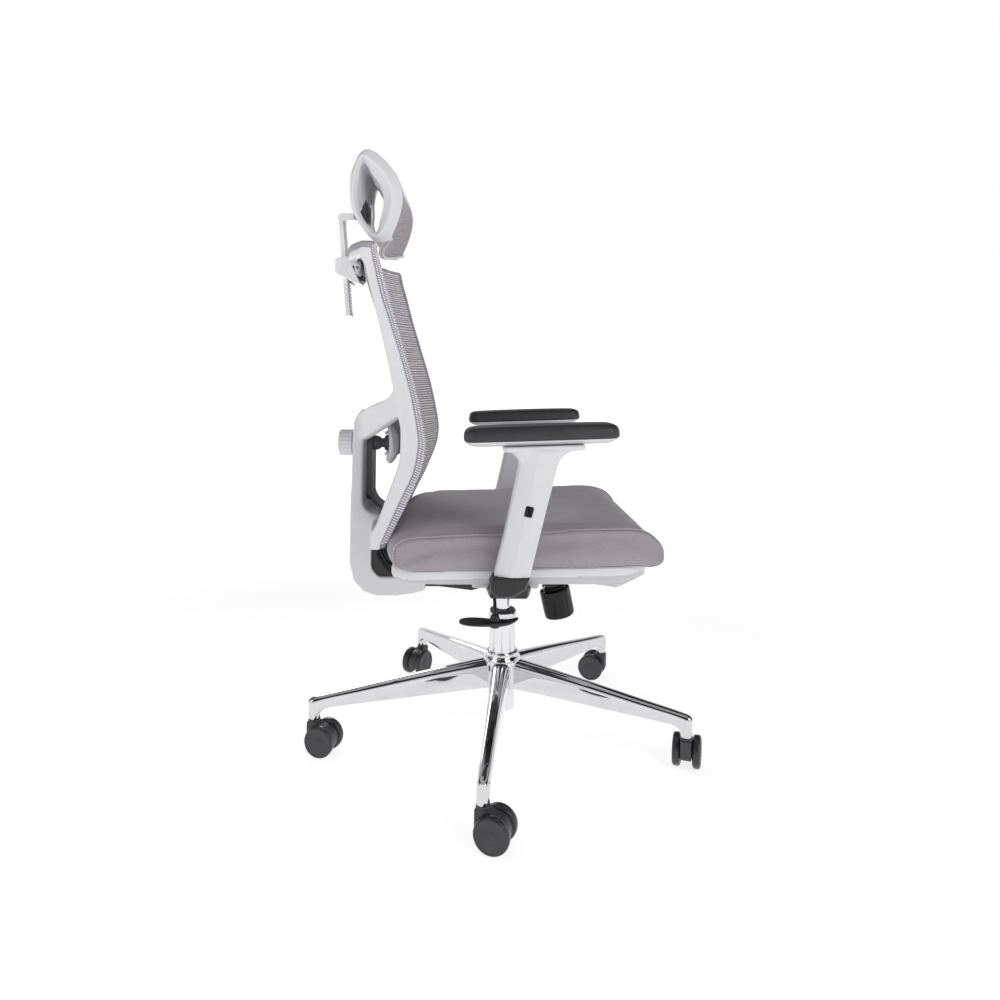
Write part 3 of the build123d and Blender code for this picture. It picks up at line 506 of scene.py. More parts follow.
def own(o, body, slot, *stands_for):
    """Sets a finished piece at its height over the floor, puts it on its body and hides the parts it stands for."""
    if not body.startswith("caster"):
        o.data.transform(Matrix.Translation((0, 0, -DROP * MM)))
        o.data.update()
    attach(o, body)
    if stands_for:
        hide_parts(*stands_for)
    return o


def paint(material, *names):
    for n in names:
        nodes[n].data.materials.clear()
        nodes[n].data.materials.append(material)


# ------------------------------------------------------------------ base
BASE_ANGLE, STEM_R = -96.02, 352.0
CASTER_DIRS = [-20.0, 70.0, 157.0, -120.0, -18.0]


def base_section(w, lo, hi):
    """Half-rounded ridge: narrow crowned top, soft shoulders, slightly drafted sides."""
    h = hi - lo
    half = [(0.0, hi), (0.20 * w, hi - 0.006 * h), (0.30 * w, hi - 0.03 * h), (0.39 * w, hi - 0.09 * h), (0.455 * w, hi - 0.17 * h), (0.49 * w, hi - 0.27 * h), (0.50 * w, hi - 0.39 * h), (0.50 * w, lo + 0.3 * h), (0.50 * w, lo + 2.0), (0.48 * w, lo + 0.5), (0.44 * w, lo)]
    return np.array(half + [(-x, z) for x, z in reversed(half[1:])])


def build_base():
    s = Shape()
    span = curve_of([(20, 38, 117, 170), (60, 33.5, 115.5, 164.5), (120, 29, 112.5, 156), (200, 25, 108.5, 144), (280, 22.3, 105, 131.5), (318, 21.2, 103.2, 126), (332, 20.9, 101.6, 123.8), (340, 20.7, 98.0, 122.5), (346, 20.5, 92, 121.6), (352, 20.4, 88, 120.6), (362, 20.2, 88, 119)])
    for k in range(5):
        a = math.radians(BASE_ANGLE + 72 * k)
        turn = np.array([[math.cos(a), -math.sin(a)], [math.sin(a), math.cos(a)]])
        rings = []
        for r in np.concatenate([np.linspace(26, 352, 40), [358, 361.2, 362.4]]):
            w, lo, hi = span(r)
            if r > 352:
                f = (r - 352) / 10.4
                w *= math.sqrt(max(0.0, 1 - 0.55 * f ** 3))
                hi -= 3.2 * f ** 3
            sec = base_section(w, lo, hi)
            xy = np.stack([np.full(len(sec), r), sec[:, 0]], 1) @ turn.T
            rings.append(np.column_stack([xy, sec[:, 1]]))
        s.rings(rings)
        # upright socket at the tip
        cx, cy = STEM_R * math.cos(a), STEM_R * math.sin(a)
        place = Matrix.Translation((cx, cy, 0))
        s.lathe([(6.0, 84.0), (6.0, 82.0), (9.2, 82.0), (10.0, 82.8), (10.2, 84), (10.2, 100), (10.0, 108), (9.9, 114)], place, 40)
    # hub with its raised collar
    s.lathe([(25.05, 118), (25.05, 116), (33, 116), (36, 117.5), (37.2, 121), (37.2, 160), (36.8, 166), (35.2, 171), (33, 174.2), (31.6, 176), (31.2, 178), (31.0, 180), (30.2, 181.6), (28.5, 182.2), (25.6, 182.2), (25.05, 181.4)], seg=80)
    o = s.make("star_base_chrome", mat_chrome, 32)
    own(o, "base", "chrome", "star_base")
    paint(mat_tube, "lift_tube", "pressure_cylinder")
    paint(mat_steel, "piston_rod", "thrust_bearing", "caster_stems")
    paint(mat_black, "guide_bush")
    # bright ring pressed round the top of the tube
    ring = Shape().lathe([(25.02, 243), (26.4, 243.4), (27.0, 244.6), (27.0, 255.5), (26.6, 257.4), (25.6, 258.2), (25.02, 258.2)], seg=64).make("column_top_ring", mat_chrome, 32)
    own(ring, "base", "chrome")


def build_casters():
    """Casters, counted from the floor: a drum-shaped hood between two wheels with flat faces and a rounded tread."""
    wheel_profile = [(6.0, 0.4), (22.0, 0.4), (24.8, 0.8), (26.6, 1.8), (27.6, 3.2), (28.0, 4.8), (28.0, 10.6), (27.75, 11.9), (27.0, 13.1), (25.9, 14.0), (24.9, 14.42), (24.3, 14.5), (23.9, 14.3), (23.5, 13.9), (22.9, 13.75), (12.0, 13.75), (4.0, 13.75)]
    for k in range(5):
        a = math.radians(BASE_ANGLE + 72 * k)
        place = Matrix.Translation((STEM_R * math.cos(a), STEM_R * math.sin(a), 0)) @ Matrix.Rotation(math.radians(CASTER_DIRS[k]), 4, "Z")
        n = k + 1
        # hood between the wheels, with its neck round the stem
        s = Shape()
        ang = np.radians(np.linspace(-26, 82, 30))
        hood = [(20 + 24 * math.cos(t), 28 + 24 * math.sin(t)) for t in ang]
        hood += [(17, 53.2), (12.5, 55.6), (9.5, 56.9), (-9.0, 56.9), (-10.6, 56.0), (-11.0, 54), (-11.0, 34), (-10.6, 27), (-9.0, 22.6), (-5.5, 20.6), (-1.5, 19.6), (6, 17.6)]
        s.prism_y(even(np.array(hood + [hood[0]]), 110, True), -9.2, 9.2, 1.1, 3)
        s.lathe([(5.7, 60.4), (5.7, 60.9), (9.6, 60.9), (10.6, 60.5), (11.0, 59.6), (11.0, 57.4), (10.2, 56.6), (9.0, 56.4), (8.4, 54.0)], seg=40)
        s.v = [tuple(place @ Vector(p)) for p in s.v]
        o = s.make("caster_%d_hood" % n, mat_hood, 40)
        own(o, "caster_%d" % n, "caster_plastic", "caster_%d" % n)
        for side, w in ((-1, "a"), (1, "b")):
            t = Shape()
            t.lathe([(r, side * (9.8 + h)) for r, h in wheel_profile], Matrix.Translation((20, 0, 28)), 72, "Y")
            # shallow hub cap
            t.lathe([(8.5, side * 23.4), (8.5, side * 23.75), (8.0, side * 24.0), (3.0, side * 24.1)], Matrix.Translation((20, 0, 28)), 40, "Y")
            t.v = [tuple(place @ Vector(p)) for p in t.v]
            o = t.make("caster_%d_wheel_%s_disc" % (n, w), mat_wheel, 36)
            o.data.materials.append(mat_tread)
            back = place.inverted()
            for f in o.data.polygons:
                c = back @ (f.center / MM)
                if math.hypot(c.x - 20, c.z - 28) > 23.2:
                    f.material_index = 1
            own(o, "caster_%d_wheel_%s" % (n, w), "caster_plastic", "caster_%d_wheel_%s" % (n, w))


# ------------------------------------------------------------------ mechanism
def build_mechanism():
    paint(mat_metal, "seat_plate", "back_bar", "height_lever_rod")
    paint(mat_gloss, "tension_spring")
    # tilt housing: a shallow channel that deepens round the column
    h = Shape()
    h.prism_y([(-95, 317), (-95, 334), (60, 351.5), (112, 351.5), (112, 324), (62, 322), (36, 311), (25, 300.5), (-25, 300.5), (-36, 314)], -42, 42)
    o = h.make("tilt_housing", mat_metal, 0)
    t = Shape()
    t.prism_y([(-90.5, 321), (-90.5, 365), (107.5, 365), (107.5, 328), (60, 326), (32, 315), (-32, 318)], -38, 38)
    cut(o, t.make("channel", None, 0))
    t = Shape()
    t.lathe([(14.6, 290), (14.6, 330)], seg=48)
    cut(o, t.make("bore", None, 0))
    moulded(o, 1.5, 2)
    own(o, "mechanism", "black_metal", "mechanism_housing")
    paint(mat_steel, "pivot_pins", "tension_screw", "seat_bolts", "back_bolts")
    # grip cup with shallow flutes
    axis = np.array((0.22, 0.0, -0.9755))
    across = np.array((0.9755, 0.0, 0.22))
    side = np.array((0.0, 1.0, 0.0))
    top = np.array((100.0, 0.0, 300.5))
    s = Shape()
    rings = []
    prof = [(26.7, 44.0), (26.7, 6.0), (26.9, 0.6), (27.4, 0.0), (28.6, 0.0), (29.3, 0.5), (29.5, 1.4), (29.5, 8), (29.4, 20), (29.3, 34), (29.1, 45), (28.7, 48.5), (27.6, 51.2), (25.6, 52.6), (22.0, 53.0), (8.0, 53.0)]
    ang = np.linspace(0, 2 * math.pi, 144, endpoint=False)
    for r, h in prof:
        dent = 0.0
        if 3 < h < 50 and r > 27.2:
            dent = 0.95 * np.clip(np.cos(12 * ang) - 0.55, 0, 1) / 0.45
        rad = r - dent
        rings.append(top + np.outer(np.full(144, h), axis) + (rad * np.cos(ang))[:, None] * across + (rad * np.sin(ang))[:, None] * side)
    s.rings(rings)
    o = s.make("tension_knob_cup", mat_gloss, 30)
    own(o, "tension_dial", "black_plastic", "tension_knob")
    # sleeve inside the coil that guides the spring
    g = Shape()
    ang = np.linspace(0, 2 * math.pi, 64, endpoint=False)
    g.rings([top + h * axis + (r * np.cos(ang))[:, None] * across + (r * np.sin(ang))[:, None] * side for r, h in ((7.0, -16.0), (17.0, -16.0), (17.6, -15.2), (17.6, 6.0), (17.0, 7.0), (16.2, 30.0), (7.0, 30.0))])
    o = g.make("spring_guide", mat_black, 35)
    own(o, "mechanism", "black_plastic")
    # lever paddle: broad rear lobe, thin waist and an upturned front tip
    s = Shape()
    f = curve_of([(-80, 4, 1.6, 295.2), (-78, 9, 2.6, 295), (-72, 14.5, 3.4, 294.8), (-60, 18.5, 3.9, 294.4), (-44, 18.5, 4.2, 293.8), (-30, 15.5, 4.6, 293.2), (-19, 13, 5.0, 292.8), (-6, 11, 4.6, 293), (6, 8.8, 3.8, 294.6), (15, 6.6, 2.9, 297.8), (19.5, 4.8, 2.1, 300), (21, 2.2, 1.2, 300.8)])
    rings = []
    ang = np.linspace(0, 2 * math.pi, 36, endpoint=False)
    for x in np.concatenate([np.linspace(-80, -74, 6), np.linspace(-72, 16, 34), np.linspace(17, 21, 5)]):
        hw, ht, z = f(x)
        c, q = np.cos(ang), np.sin(ang)
        y = hw * np.sign(c) * np.abs(c) ** 0.8
        zz = ht * np.sign(q) * np.abs(q) ** 0.75
        # finger hollow in the top of the lobe
        dish = np.where(q > 0, 1.4 * np.exp(-((x + 55) / 17) ** 2) * np.clip(1 - (y / 13) ** 2, 0, 1), 0)
        rings.append(np.stack([np.full(36, x), -180.5 + y, z + zz - dish], 1))
    s.rings(rings)
    s.lathe([(2.0, 284.6), (6.4, 284.6), (8.2, 285.4), (9.0, 287.2), (9.2, 292), (8.6, 300), (7.0, 305), (5.4, 307.4), (4.0, 308), (3.1, 308)], Matrix.Translation((-19, -180, 0)), 36)
    o = s.make("lever_paddle_grip", mat_black, 45)
    moulded(o, 0.9, 3)
    own(o, "lever", "black_plastic", "lever_paddle")


# ------------------------------------------------------------------ seat
MAIN = [(-172, 391), (-193, 396), (-208, 408), (-213, 424), (-210, 438), (-198, 447), (-155, 453.5), (-92, 457.5), (-22, 460), (57, 464), (118, 467.5), (180, 468.5), (213, 466), (233, 460), (252, 444), (260, 425), (254, 409), (243, 401.5), (200, 400), (0, 394), (-100, 391)]
SEAM = [(-170, 392.5), (-180, 398), (-186, 405), (-188, 415), (-185, 431), (-172, 443), (-143, 449.5), (-89, 453), (-21, 455), (56, 460), (116, 466), (188, 469), (221, 467.5), (244, 460.5), (263, 444), (268, 425), (262, 408), (250, 401.5), (200, 400.5), (0, 394.5), (-100, 391.5)]


def panel_pair(n):
    """The cushion's long outline and its side panel's outline with matching points."""
    both = np.column_stack([MAIN, SEAM])
    dense = smooth_line(both, n, True)
    return dense[:, :2], dense[:, 2:]


def build_cushion():
    n = 240
    main, seam = panel_pair(n)
    s = Shape()
    half, roll = 239.0, 36.0
    rings = []
    ys = np.concatenate([np.linspace(-half, -half + roll, 14), np.linspace(-half + roll, half - roll, 40)[1:-1], np.linspace(half - roll, half, 14)])
    for y in ys:
        g = max(0.0, (abs(y) - (half - roll)) / roll)
        k = 1 - math.sqrt(max(0.0, 1 - min(g, 1.0) ** 2))
        q = main * (1 - k) + seam * k
        # front edge bows out a little towards the middle, the rear corners draw in
        bow = (abs(y) / half) ** 2
        front = np.clip((q[:, 0] - 120) / 130, 0, 1)
        rear = np.clip((-120 - q[:, 0]) / 70, 0, 1)
        x = q[:, 0] - front * 1.5 * bow + rear * 10.0 * bow * bow * (1 - 0.6 * k)
        # seat dish and side bolsters
        topness = np.clip((q[:, 1] - 430) / 30, 0, 1)
        z = q[:, 1] - topness * 0.8 * (1 + math.cos(min(1.0, abs(y) / 200) * math.pi))
        rings.append(np.stack([x, np.full(n, y), z], 1))
    s.rings(rings)
    o = s.make("seat_cushion_cover", mat_seat, 0)
    moulded(o, 5.0, 3)
    rest = np.array([v.co for v in o.data.vertices])
    nrm = np.array([v.normal for v in o.data.vertices])
    start = rest - nrm * 0.0025
    for v, p in zip(o.data.vertices, start):
        v.co = p
    pin = o.vertex_groups.new(name="pin")
    base = [i for i, p in enumerate(rest) if p[2] < 0.405 + 0.03 * p[0]]
    pin.add(base, 1.0, "REPLACE")
    c = o.modifiers.new("cloth", "CLOTH")
    c.settings.quality = 6
    c.settings.mass = 0.35
    c.settings.tension_stiffness = c.settings.compression_stiffness = 18
    c.settings.shear_stiffness = 6
    c.settings.bending_stiffness = 1.2
    c.settings.use_pressure = True
    c.settings.uniform_pressure_force = 4.0
    c.settings.effector_weights.gravity = 0.0
    c.settings.vertex_group_mass = "pin"
    c.collision_settings.use_collision = False
    c.collision_settings.use_self_collision = False
    for f in range(1, 21):
        scene.frame_set(f)
    dg = bpy.context.evaluated_depsgraph_get()
    ev = o.evaluated_get(dg)
    got = np.array([v.co for v in ev.data.vertices])
    o.modifiers.clear()
    scene.frame_set(1)
    move = got - start
    size = np.linalg.norm(move, axis=1, keepdims=True)
    cap = 0.0045
    move = move * np.minimum(1.0, cap / np.maximum(size, 1e-9))
    for v, p in zip(o.data.vertices, start + move):
        v.co = p
    o.vertex_groups.clear()
    o.data.update()
    sub = o.modifiers.new("fine", "SUBSURF")
    sub.levels = sub.render_levels = 1
    baked(o)
    finish_shading(o.data, 0)
    # sewn seam round each side panel: the cloth draws in along it
    tree_pts = []
    tree = surface_of(o)
    seam_lines = {}
    for sy in (-1, 1):
        use = seam[(seam[:, 1] > 399 + 0.0 * seam[:, 0]) | (seam[:, 0] < -160) | (seam[:, 0] > 235)]
        order = use
        # run from the rear foot over the top to the front foot
        run = seam[:16 * n // 20 + 1]
        run = np.array([p for p in run])
        line = smooth_line(run[:: 4], 260)
        pts = []
        for x, z in line:
            q, nn = onto(tree, (x, sy * 238.0, z))
            pts.append(q)
        seam_lines[sy] = np.array(pts)
        tree_pts.append(np.array(pts))
    allp = np.concatenate(tree_pts)
    from mathutils.kdtree import KDTree
    kd = KDTree(len(allp))
    for i, p in enumerate(allp):
        kd.insert(p, i)
    kd.balance()
    co = np.array([v.co for v in o.data.vertices]) / MM
    nn = np.array([v.normal for v in o.data.vertices])
    near = np.where((np.abs(co[:, 1]) > 190))[0]
    for i in near:
        _, _, d = kd.find(co[i])
        if d < 9:
            co[i] -= nn[i] * (1.4 * math.exp(-(d / 2.0) ** 2) - 0.5 * math.exp(-((d - 5) / 2.4) ** 2))
    for i in near:
        o.data.vertices[i].co = co[i] * MM
    o.data.update()
    # seam line and its top-stitching
    tree = surface_of(o)
    own(o, "seat", "seat_fabric", "seat_cushion")
    th, st = Shape(), Shape()
    for sy, line in seam_lines.items():
        ring = []
        ang = np.linspace(0, 2 * math.pi, 6, endpoint=False)
        seat = []
        for p in line:
            q, nrm = onto(tree, p)
            seat.append(q + nrm * 0.1)
        seat = np.array(seat)
        tan = np.gradient(seat, axis=0)
        tan /= np.linalg.norm(tan, axis=1, keepdims=True)
        for p, t in zip(seat, tan):
            e1 = np.array((0, sy, 0)) - t * t[1] * sy
            e1 /= np.linalg.norm(e1)
            e2 = np.cross(t, e1)
            ring.append(p + 0.38 * (np.outer(np.cos(ang), e1) + np.outer(np.sin(ang), e2)))
        th.rings(ring)
        # dashes run along the top panel, just above the seam
        length = np.concatenate([[0], np.cumsum(np.linalg.norm(np.diff(seat, axis=0), axis=1))])
        tot = length[-1]
        at = 8.0
        centre = np.array((30.0, 0, 415.0))
        while at < tot - 12:
            pair = []
            for d in (at, at + 3.4):
                p = np.array([np.interp(d, length, seat[:, k]) for k in range(3)])
                i = min(len(seat) - 1, int(np.searchsorted(length, d)))
                t = tan[i]
                out = np.cross(t, (0, sy, 0)) * sy
                if out @ (p - centre) < 0:
                    out = -out
                out[1] = 0
                out /= max(np.linalg.norm(out), 1e-9)
                q, nrm = onto(tree, p + out * 2.8 - np.array((0, sy * 1.5, 0)))
                pair.append((q, nrm))
            (qa, na), (qb, nb) = pair
            if np.linalg.norm(qb - qa) > 1.2:
                st.capsule(qa + na * 0.25, qb + nb * 0.25, 0.62, 6, 0.8, na)
            at += 5.2
    o = th.make("seat_seam_line", mat_seam, 0)
    own(o, "seat", "seat_fabric")
    o = st.make("seat_top_stitch", mat_thread, 0)
    own(o, "seat", "seat_fabric")


def build_pan():
    """White lower pan: a drafted rim under the cushion and a moulded front underside."""
    def plan(x0, x1, hw, r):
        return rounded([(x0, -hw), (x1, -hw), (x1, hw), (x0, hw)], r, 10)

    s = Shape()
    rings = []
    for z, x0, x1, hw, r in ((366, -158, 205, 196, 50), (370, -172, 216, 208, 54), (377, -190, 231, 224, 60), (380, -195, 236, 228, 62), (386, -197, 239, 230.5, 64), (393, -197, 241, 231.5, 65), (400, -195, 241, 231, 65)):
        q = even(np.vstack([plan(x0, x1, hw, r), plan(x0, x1, hw, r)[:1]]), 160, True)
        tilt = 0.028 if z > 372 else 0.008
        rings.append(np.column_stack([q, z - 3.5 + tilt * q[:, 0]]))
    s.rings(rings)
    # front underside swells down between two side walls
    nose = rounded([(58, 384), (58, 364), (123, 366.5), (186, 357), (216, 371), (243, 385)], [2, 5, 10, 10, 8, 3])
    s.prism_y(nose, -194, 194)
    # rear moulded step
    step = rounded([(-160, 380), (-150, 367), (-68, 366), (-60, 380)], [3, 6, 5, 3])
    s.prism_y(step, -188, 188)
    o = s.make("seat_pan_shell", mat_white, 0)
    moulded(o, 2.4, 5, 0)
    # downward faces take the darker copy of the white plastic: painted shade under the pan
    o.data.materials.append(mat_white_shaded_under)
    for f in o.data.polygons:
        if f.normal.z < -0.3:
            f.material_index = 1
    own(o, "seat", "white_plastic", "seat_pan")
    # grip ribs and bosses moulded under the pan, in pale grey: painted shade for the white plastic under the pan
    r = Shape()
    for sy in (-1, 1):
        for x0, x1, y0, y1, z0 in ((-58, -30, 150, 214, 361), (-26, 2, 150, 212, 357), (34, 52, 150, 212, 360)):
            loop = rounded([(x0, z0), (x1, z0), (x1, 372), (x0, 372)], 2.5, 4)
            r.prism_y(loop, sy * y0, sy * y1, 2.0, 3)
    o = r.make("seat_pan_bosses", mat_pale, 40)
    own(o, "seat", "white_plastic")
    paint(mat_board, "seat_board")


# ------------------------------------------------------------------ armrests
def build_arms():
    lean = np.array((0.2209, 0.0, 0.9753))
    tilt = math.radians(2.4)
    ax, az = np.array((math.cos(tilt), 0, math.sin(tilt))), np.array((-math.sin(tilt), 0, math.cos(tilt)))
    origin = np.array((50.5, -243.0, 604.0))
    for side, sy in (("right", 1), ("left", -1)):
        # sleeve: two outer facets meet in a soft ridge, both edges flare into the top plate
        s = Shape()
        left = curve_of([(398.6, -24), (430, -17), (462, -9.5), (500, -1.5), (536, 6), (560, 11), (572, 13), (581, 12), (588, 6), (593, -2), (597, -11)])
        right = curve_of([(398.6, 33), (440, 42.5), (500, 56.5), (541, 66.5), (565, 72.5), (579, 77), (588, 83), (594, 91), (598, 102), (600, 110)])
        rings = []
        for z in np.concatenate([np.linspace(398.8, 560, 26), np.linspace(564, 597, 18)]):
            a, b = float(left(z)[0]), float(right(z)[0])
            ridge = 3.5 + 0.212 * (z - 400)
            ridge = min(max(ridge, a + 6), b - 6)
            flare = max(0.0, (z - 572) / 25) ** 2 * 9
            out, inn = -292.0 - 0.0 * flare, -249.0
            sec = [(ridge, out), (ridge - 0.5 * (ridge - a), out + 4.6), (a + 4.0, out + 9.0), (a + 1.1, out + 11.8), (a, out + 16), (a, inn - 9), (a + 2, inn - 3), (a + 8, inn), (b - 8, inn), (b - 2, inn - 3), (b, inn - 9), (b, out + 11), (b - 1.1, out + 5.4), (b - 4.5, out + 2.4), (ridge + 0.5 * (b - ridge), out + 0.8)]
            rings.append([(x, y, z) for x, y in sec])
        s.rings(rings)
        plate = rounded([(-64, -47), (66, -47), (66, 44), (-64, 44)], 9, 6)
        pr = []
        for h, g in ((-8.6, 3.0), (-7.6, 1.0), (-5.5, 0.0), (-1.2, 0.0), (-0.3, 0.8)):
            q = inset(plate, g)
            pr.append(origin + np.outer(q[:, 0] + 1.0, ax) + np.outer(q[:, 1], (0, 1, 0)) + h * az)
        s.rings(pr)
        if sy < 0:
            s.v = [(x, -y, z) for x, y, z in s.v]
        o = s.make("arm_sleeve_%s_cover" % side, mat_white, 0)
        moulded(o, 1.5, 2)
        # sunk seat round the button, open to the button's slot
        t = Shape()
        u = np.array((0.9753, 0.0, -0.2209))
        c = np.array((29.0, -292.0, 502.0))
        ring = rounded([(-6.2, -8.2), (6.2, -8.2), (6.2, 8.2), (-6.2, 8.2)], 2.4, 5)
        t.rings([c + np.outer(q[:, 0], u) + np.outer(q[:, 1], lean) + np.array((0, dy, 0)) for q, dy in ((inset(ring, 0.0), 9.4), (inset(ring, 0.0), 1.2), (inset(ring, -1.6), -0.6), (inset(ring, -1.8), -4.0))])
        if sy < 0:
            t.v = [(x, -y, z) for x, y, z in t.v]
        cut(o, t.make("button_slot", None, 0))
        finish_shading(o.data, 40)
        own(o, "arm_" + side, "white_plastic", "arm_sleeve_" + side)
        # button with a slightly domed face
        b = Shape()
        face = rounded([(-5.4, -7.4), (5.4, -7.4), (5.4, 7.4), (-5.4, 7.4)], 1.8, 5)
        b.rings([c + np.outer(q[:, 0], u) + np.outer(q[:, 1], lean) + np.array((0, dy, 0)) for q, dy in ((face, 4.6), (face, -0.8), (inset(face, 0.4), -1.3), (inset(face, 1.3), -1.7), (inset(face, 3.0), -1.9))])
        if sy < 0:
            b.v = [(x, -y, z) for x, y, z in b.v]
        o = b.make("arm_button_%s_cap" % side, mat_gloss, 30)
        own(o, "button_" + side, "black_plastic", "arm_button_" + side)
        # bracket elbow under the sleeve: a block with broad bevels on its outer side
        e = Shape()
        deep = [(-25, 398.4), (33, 398.4), (28, 379), (10, 366.5), (-8, 364), (-20, 366.5), (-30, 377), (-31, 388)]
        face = [(-24.5, 398.4), (31, 398.4), (23, 381), (2, 370.6), (-8, 369.6), (-19, 371), (-28, 380), (-29.5, 391)]
        e.rings([[(x, y, z) for x, z in loop] for loop, y in ((deep, -250.0), (deep, -283.5), (face, -293.6))])
        # arm that runs in under the seat
        foot = [(-40, 352.2, 50, 366), (-36, 352.2, 48, 366)]
        rings = []
        for y, x0, x1, z0, z1 in ((-97, -34, 46, 352.2, 365.6), (-100, -36, 48, 352, 365.8), (-200, -34, 40, 352, 365.8), (-235, -31, 35, 353, 367), (-256, -29, 31, 356, 374)):
            loop = rounded([(x0, z0), (x1, z0), (x1, z1), (x0, z1)], 2.6, 4)
            rings.append(np.stack([loop[:, 0], np.full(len(loop), y), loop[:, 1]], 1))
        e.rings(rings)
        if sy < 0:
            e.v = [(x, -y, z) for x, y, z in e.v]
        # inner post, seen when the armrest is raised
        post = np.array((4.5, -270.0, 398.0))
        u3, v3 = np.array((0.9753, 0, -0.2209)), np.array((0.0, 1.0, 0.0))
        sec = rounded([(-18, -12), (18, -12), (18, 12), (-18, 12)], 4, 4)
        pr = [post + np.outer(sec[:, 0], u3) + np.outer(sec[:, 1], v3) + h * lean for h in (-12, 20, 80, 128, 134)]
        p = Shape().rings(pr)
        if sy < 0:
            p.v = [(x, -y, z) for x, y, z in p.v]
        e.v += p.v
        off = len(e.v) - len(p.v)
        e.f += [tuple(i + off for i in f) for f in p.f]
        o = e.make("arm_bracket_%s_casting" % side, mat_black, 38)
        moulded(o, 1.5, 3)
        own(o, "seat", "black_plastic", "arm_bracket_" + side)
        # pad shell and pad
        def slab(levels, length, width, corner, bow):
            base = rounded([(-length / 2, -width / 2), (length / 2, -width / 2), (length / 2, width / 2), (-length / 2, width / 2)], corner, 9)
            base = even(np.vstack([base, base[:1]]), 150, True)
            base[:, 0] += np.sign(base[:, 0]) * bow * (1 - (base[:, 1] / (width / 2)) ** 2) * (np.abs(base[:, 0]) > length / 2 - corner)
            base[:, 1] *= 1 - 0.05 * (base[:, 0] / (length / 2)) ** 2
            out = []
            for h, g, crown in levels:
                q = base * np.array([1 - g / (length / 2), 1 - g / (width / 2)])
                rise = crown * (1 - (q[:, 0] / (length / 2)) ** 2)
                out.append(origin + np.outer(q[:, 0], ax) + np.outer(q[:, 1], (0, 1, 0)) + np.outer(h + rise, az))
            return out
        sh = Shape().rings(slab(((0.5, 15.0, 0), (0.9, 12.2, 0), (2.4, 8.0, 0), (5.0, 4.2, 0), (7.2, 2.2, 0), (8.3, 1.6, 0), (8.6, 2.6, 0)), 240, 90, 16, 4))
        if sy < 0:
            sh.v = [(x, -y, z) for x, y, z in sh.v]
        o = sh.make("pad_shell_%s_cover" % side, mat_white, 34)
        own(o, "pad_" + side, "white_plastic", "pad_shell_" + side)
        pd = Shape().rings(slab(((8.7, 3.6, 0), (9.0, 1.6, 0), (10.2, 0.5, 0), (12.5, 0.0, 0), (16, 0.0, 0.2), (20.5, 0.5, 0.4), (24, 1.5, 0.6), (26.6, 3.2, 0.8), (28.4, 5.6, 0.9), (29.6, 9.0, 1.0), (30.2, 13, 1.1), (30.6, 20, 1.2), (30.8, 28, 1.2), (31.0, 36, 1.2)), 242, 92, 16, 4))
        if sy < 0:
            pd.v = [(x, -y, z) for x, y, z in pd.v]
        o = pd.make("arm_pad_%s_skin" % side, mat_pad, 0)
        own(o, "pad_" + side, "pad_foam", "arm_pad_" + side)


# ------------------------------------------------------------------ back
front_edge = curve_of([(426, -213), (460, -198), (499, -181), (550, -158), (581, -152), (602, -150), (631, -154), (676, -163), (742, -181), (800, -200), (852, -217), (921, -233)])
rear_edge = curve_of([(421, -229), (443, -229), (466, -218), (494, -208), (530, -195), (568, -183), (600, -181), (627, -182), (645, -186.5), (690, -195), (735, -204), (800, -220), (866, -237), (893, -244), (908, -251), (921, -253)])
ring_edge = curve_of([(423, -205), (460, -188.5), (499, -169), (545, -150), (571, -142), (600, -140), (639, -146), (691, -158), (762, -179.5), (822, -198), (887, -216), (907, -222), (931, -227)])
top_mid = curve_of([(0, -290), (45, -288.5), (108, -279.5), (160, -266), (184, -254), (197, -246), (208, -242)])


def soft_box(x0, x1, y0, y1, r, seg=4):
    return rounded([(x0, y0), (x1, y0), (x1, y1), (x0, y1)], r, seg)


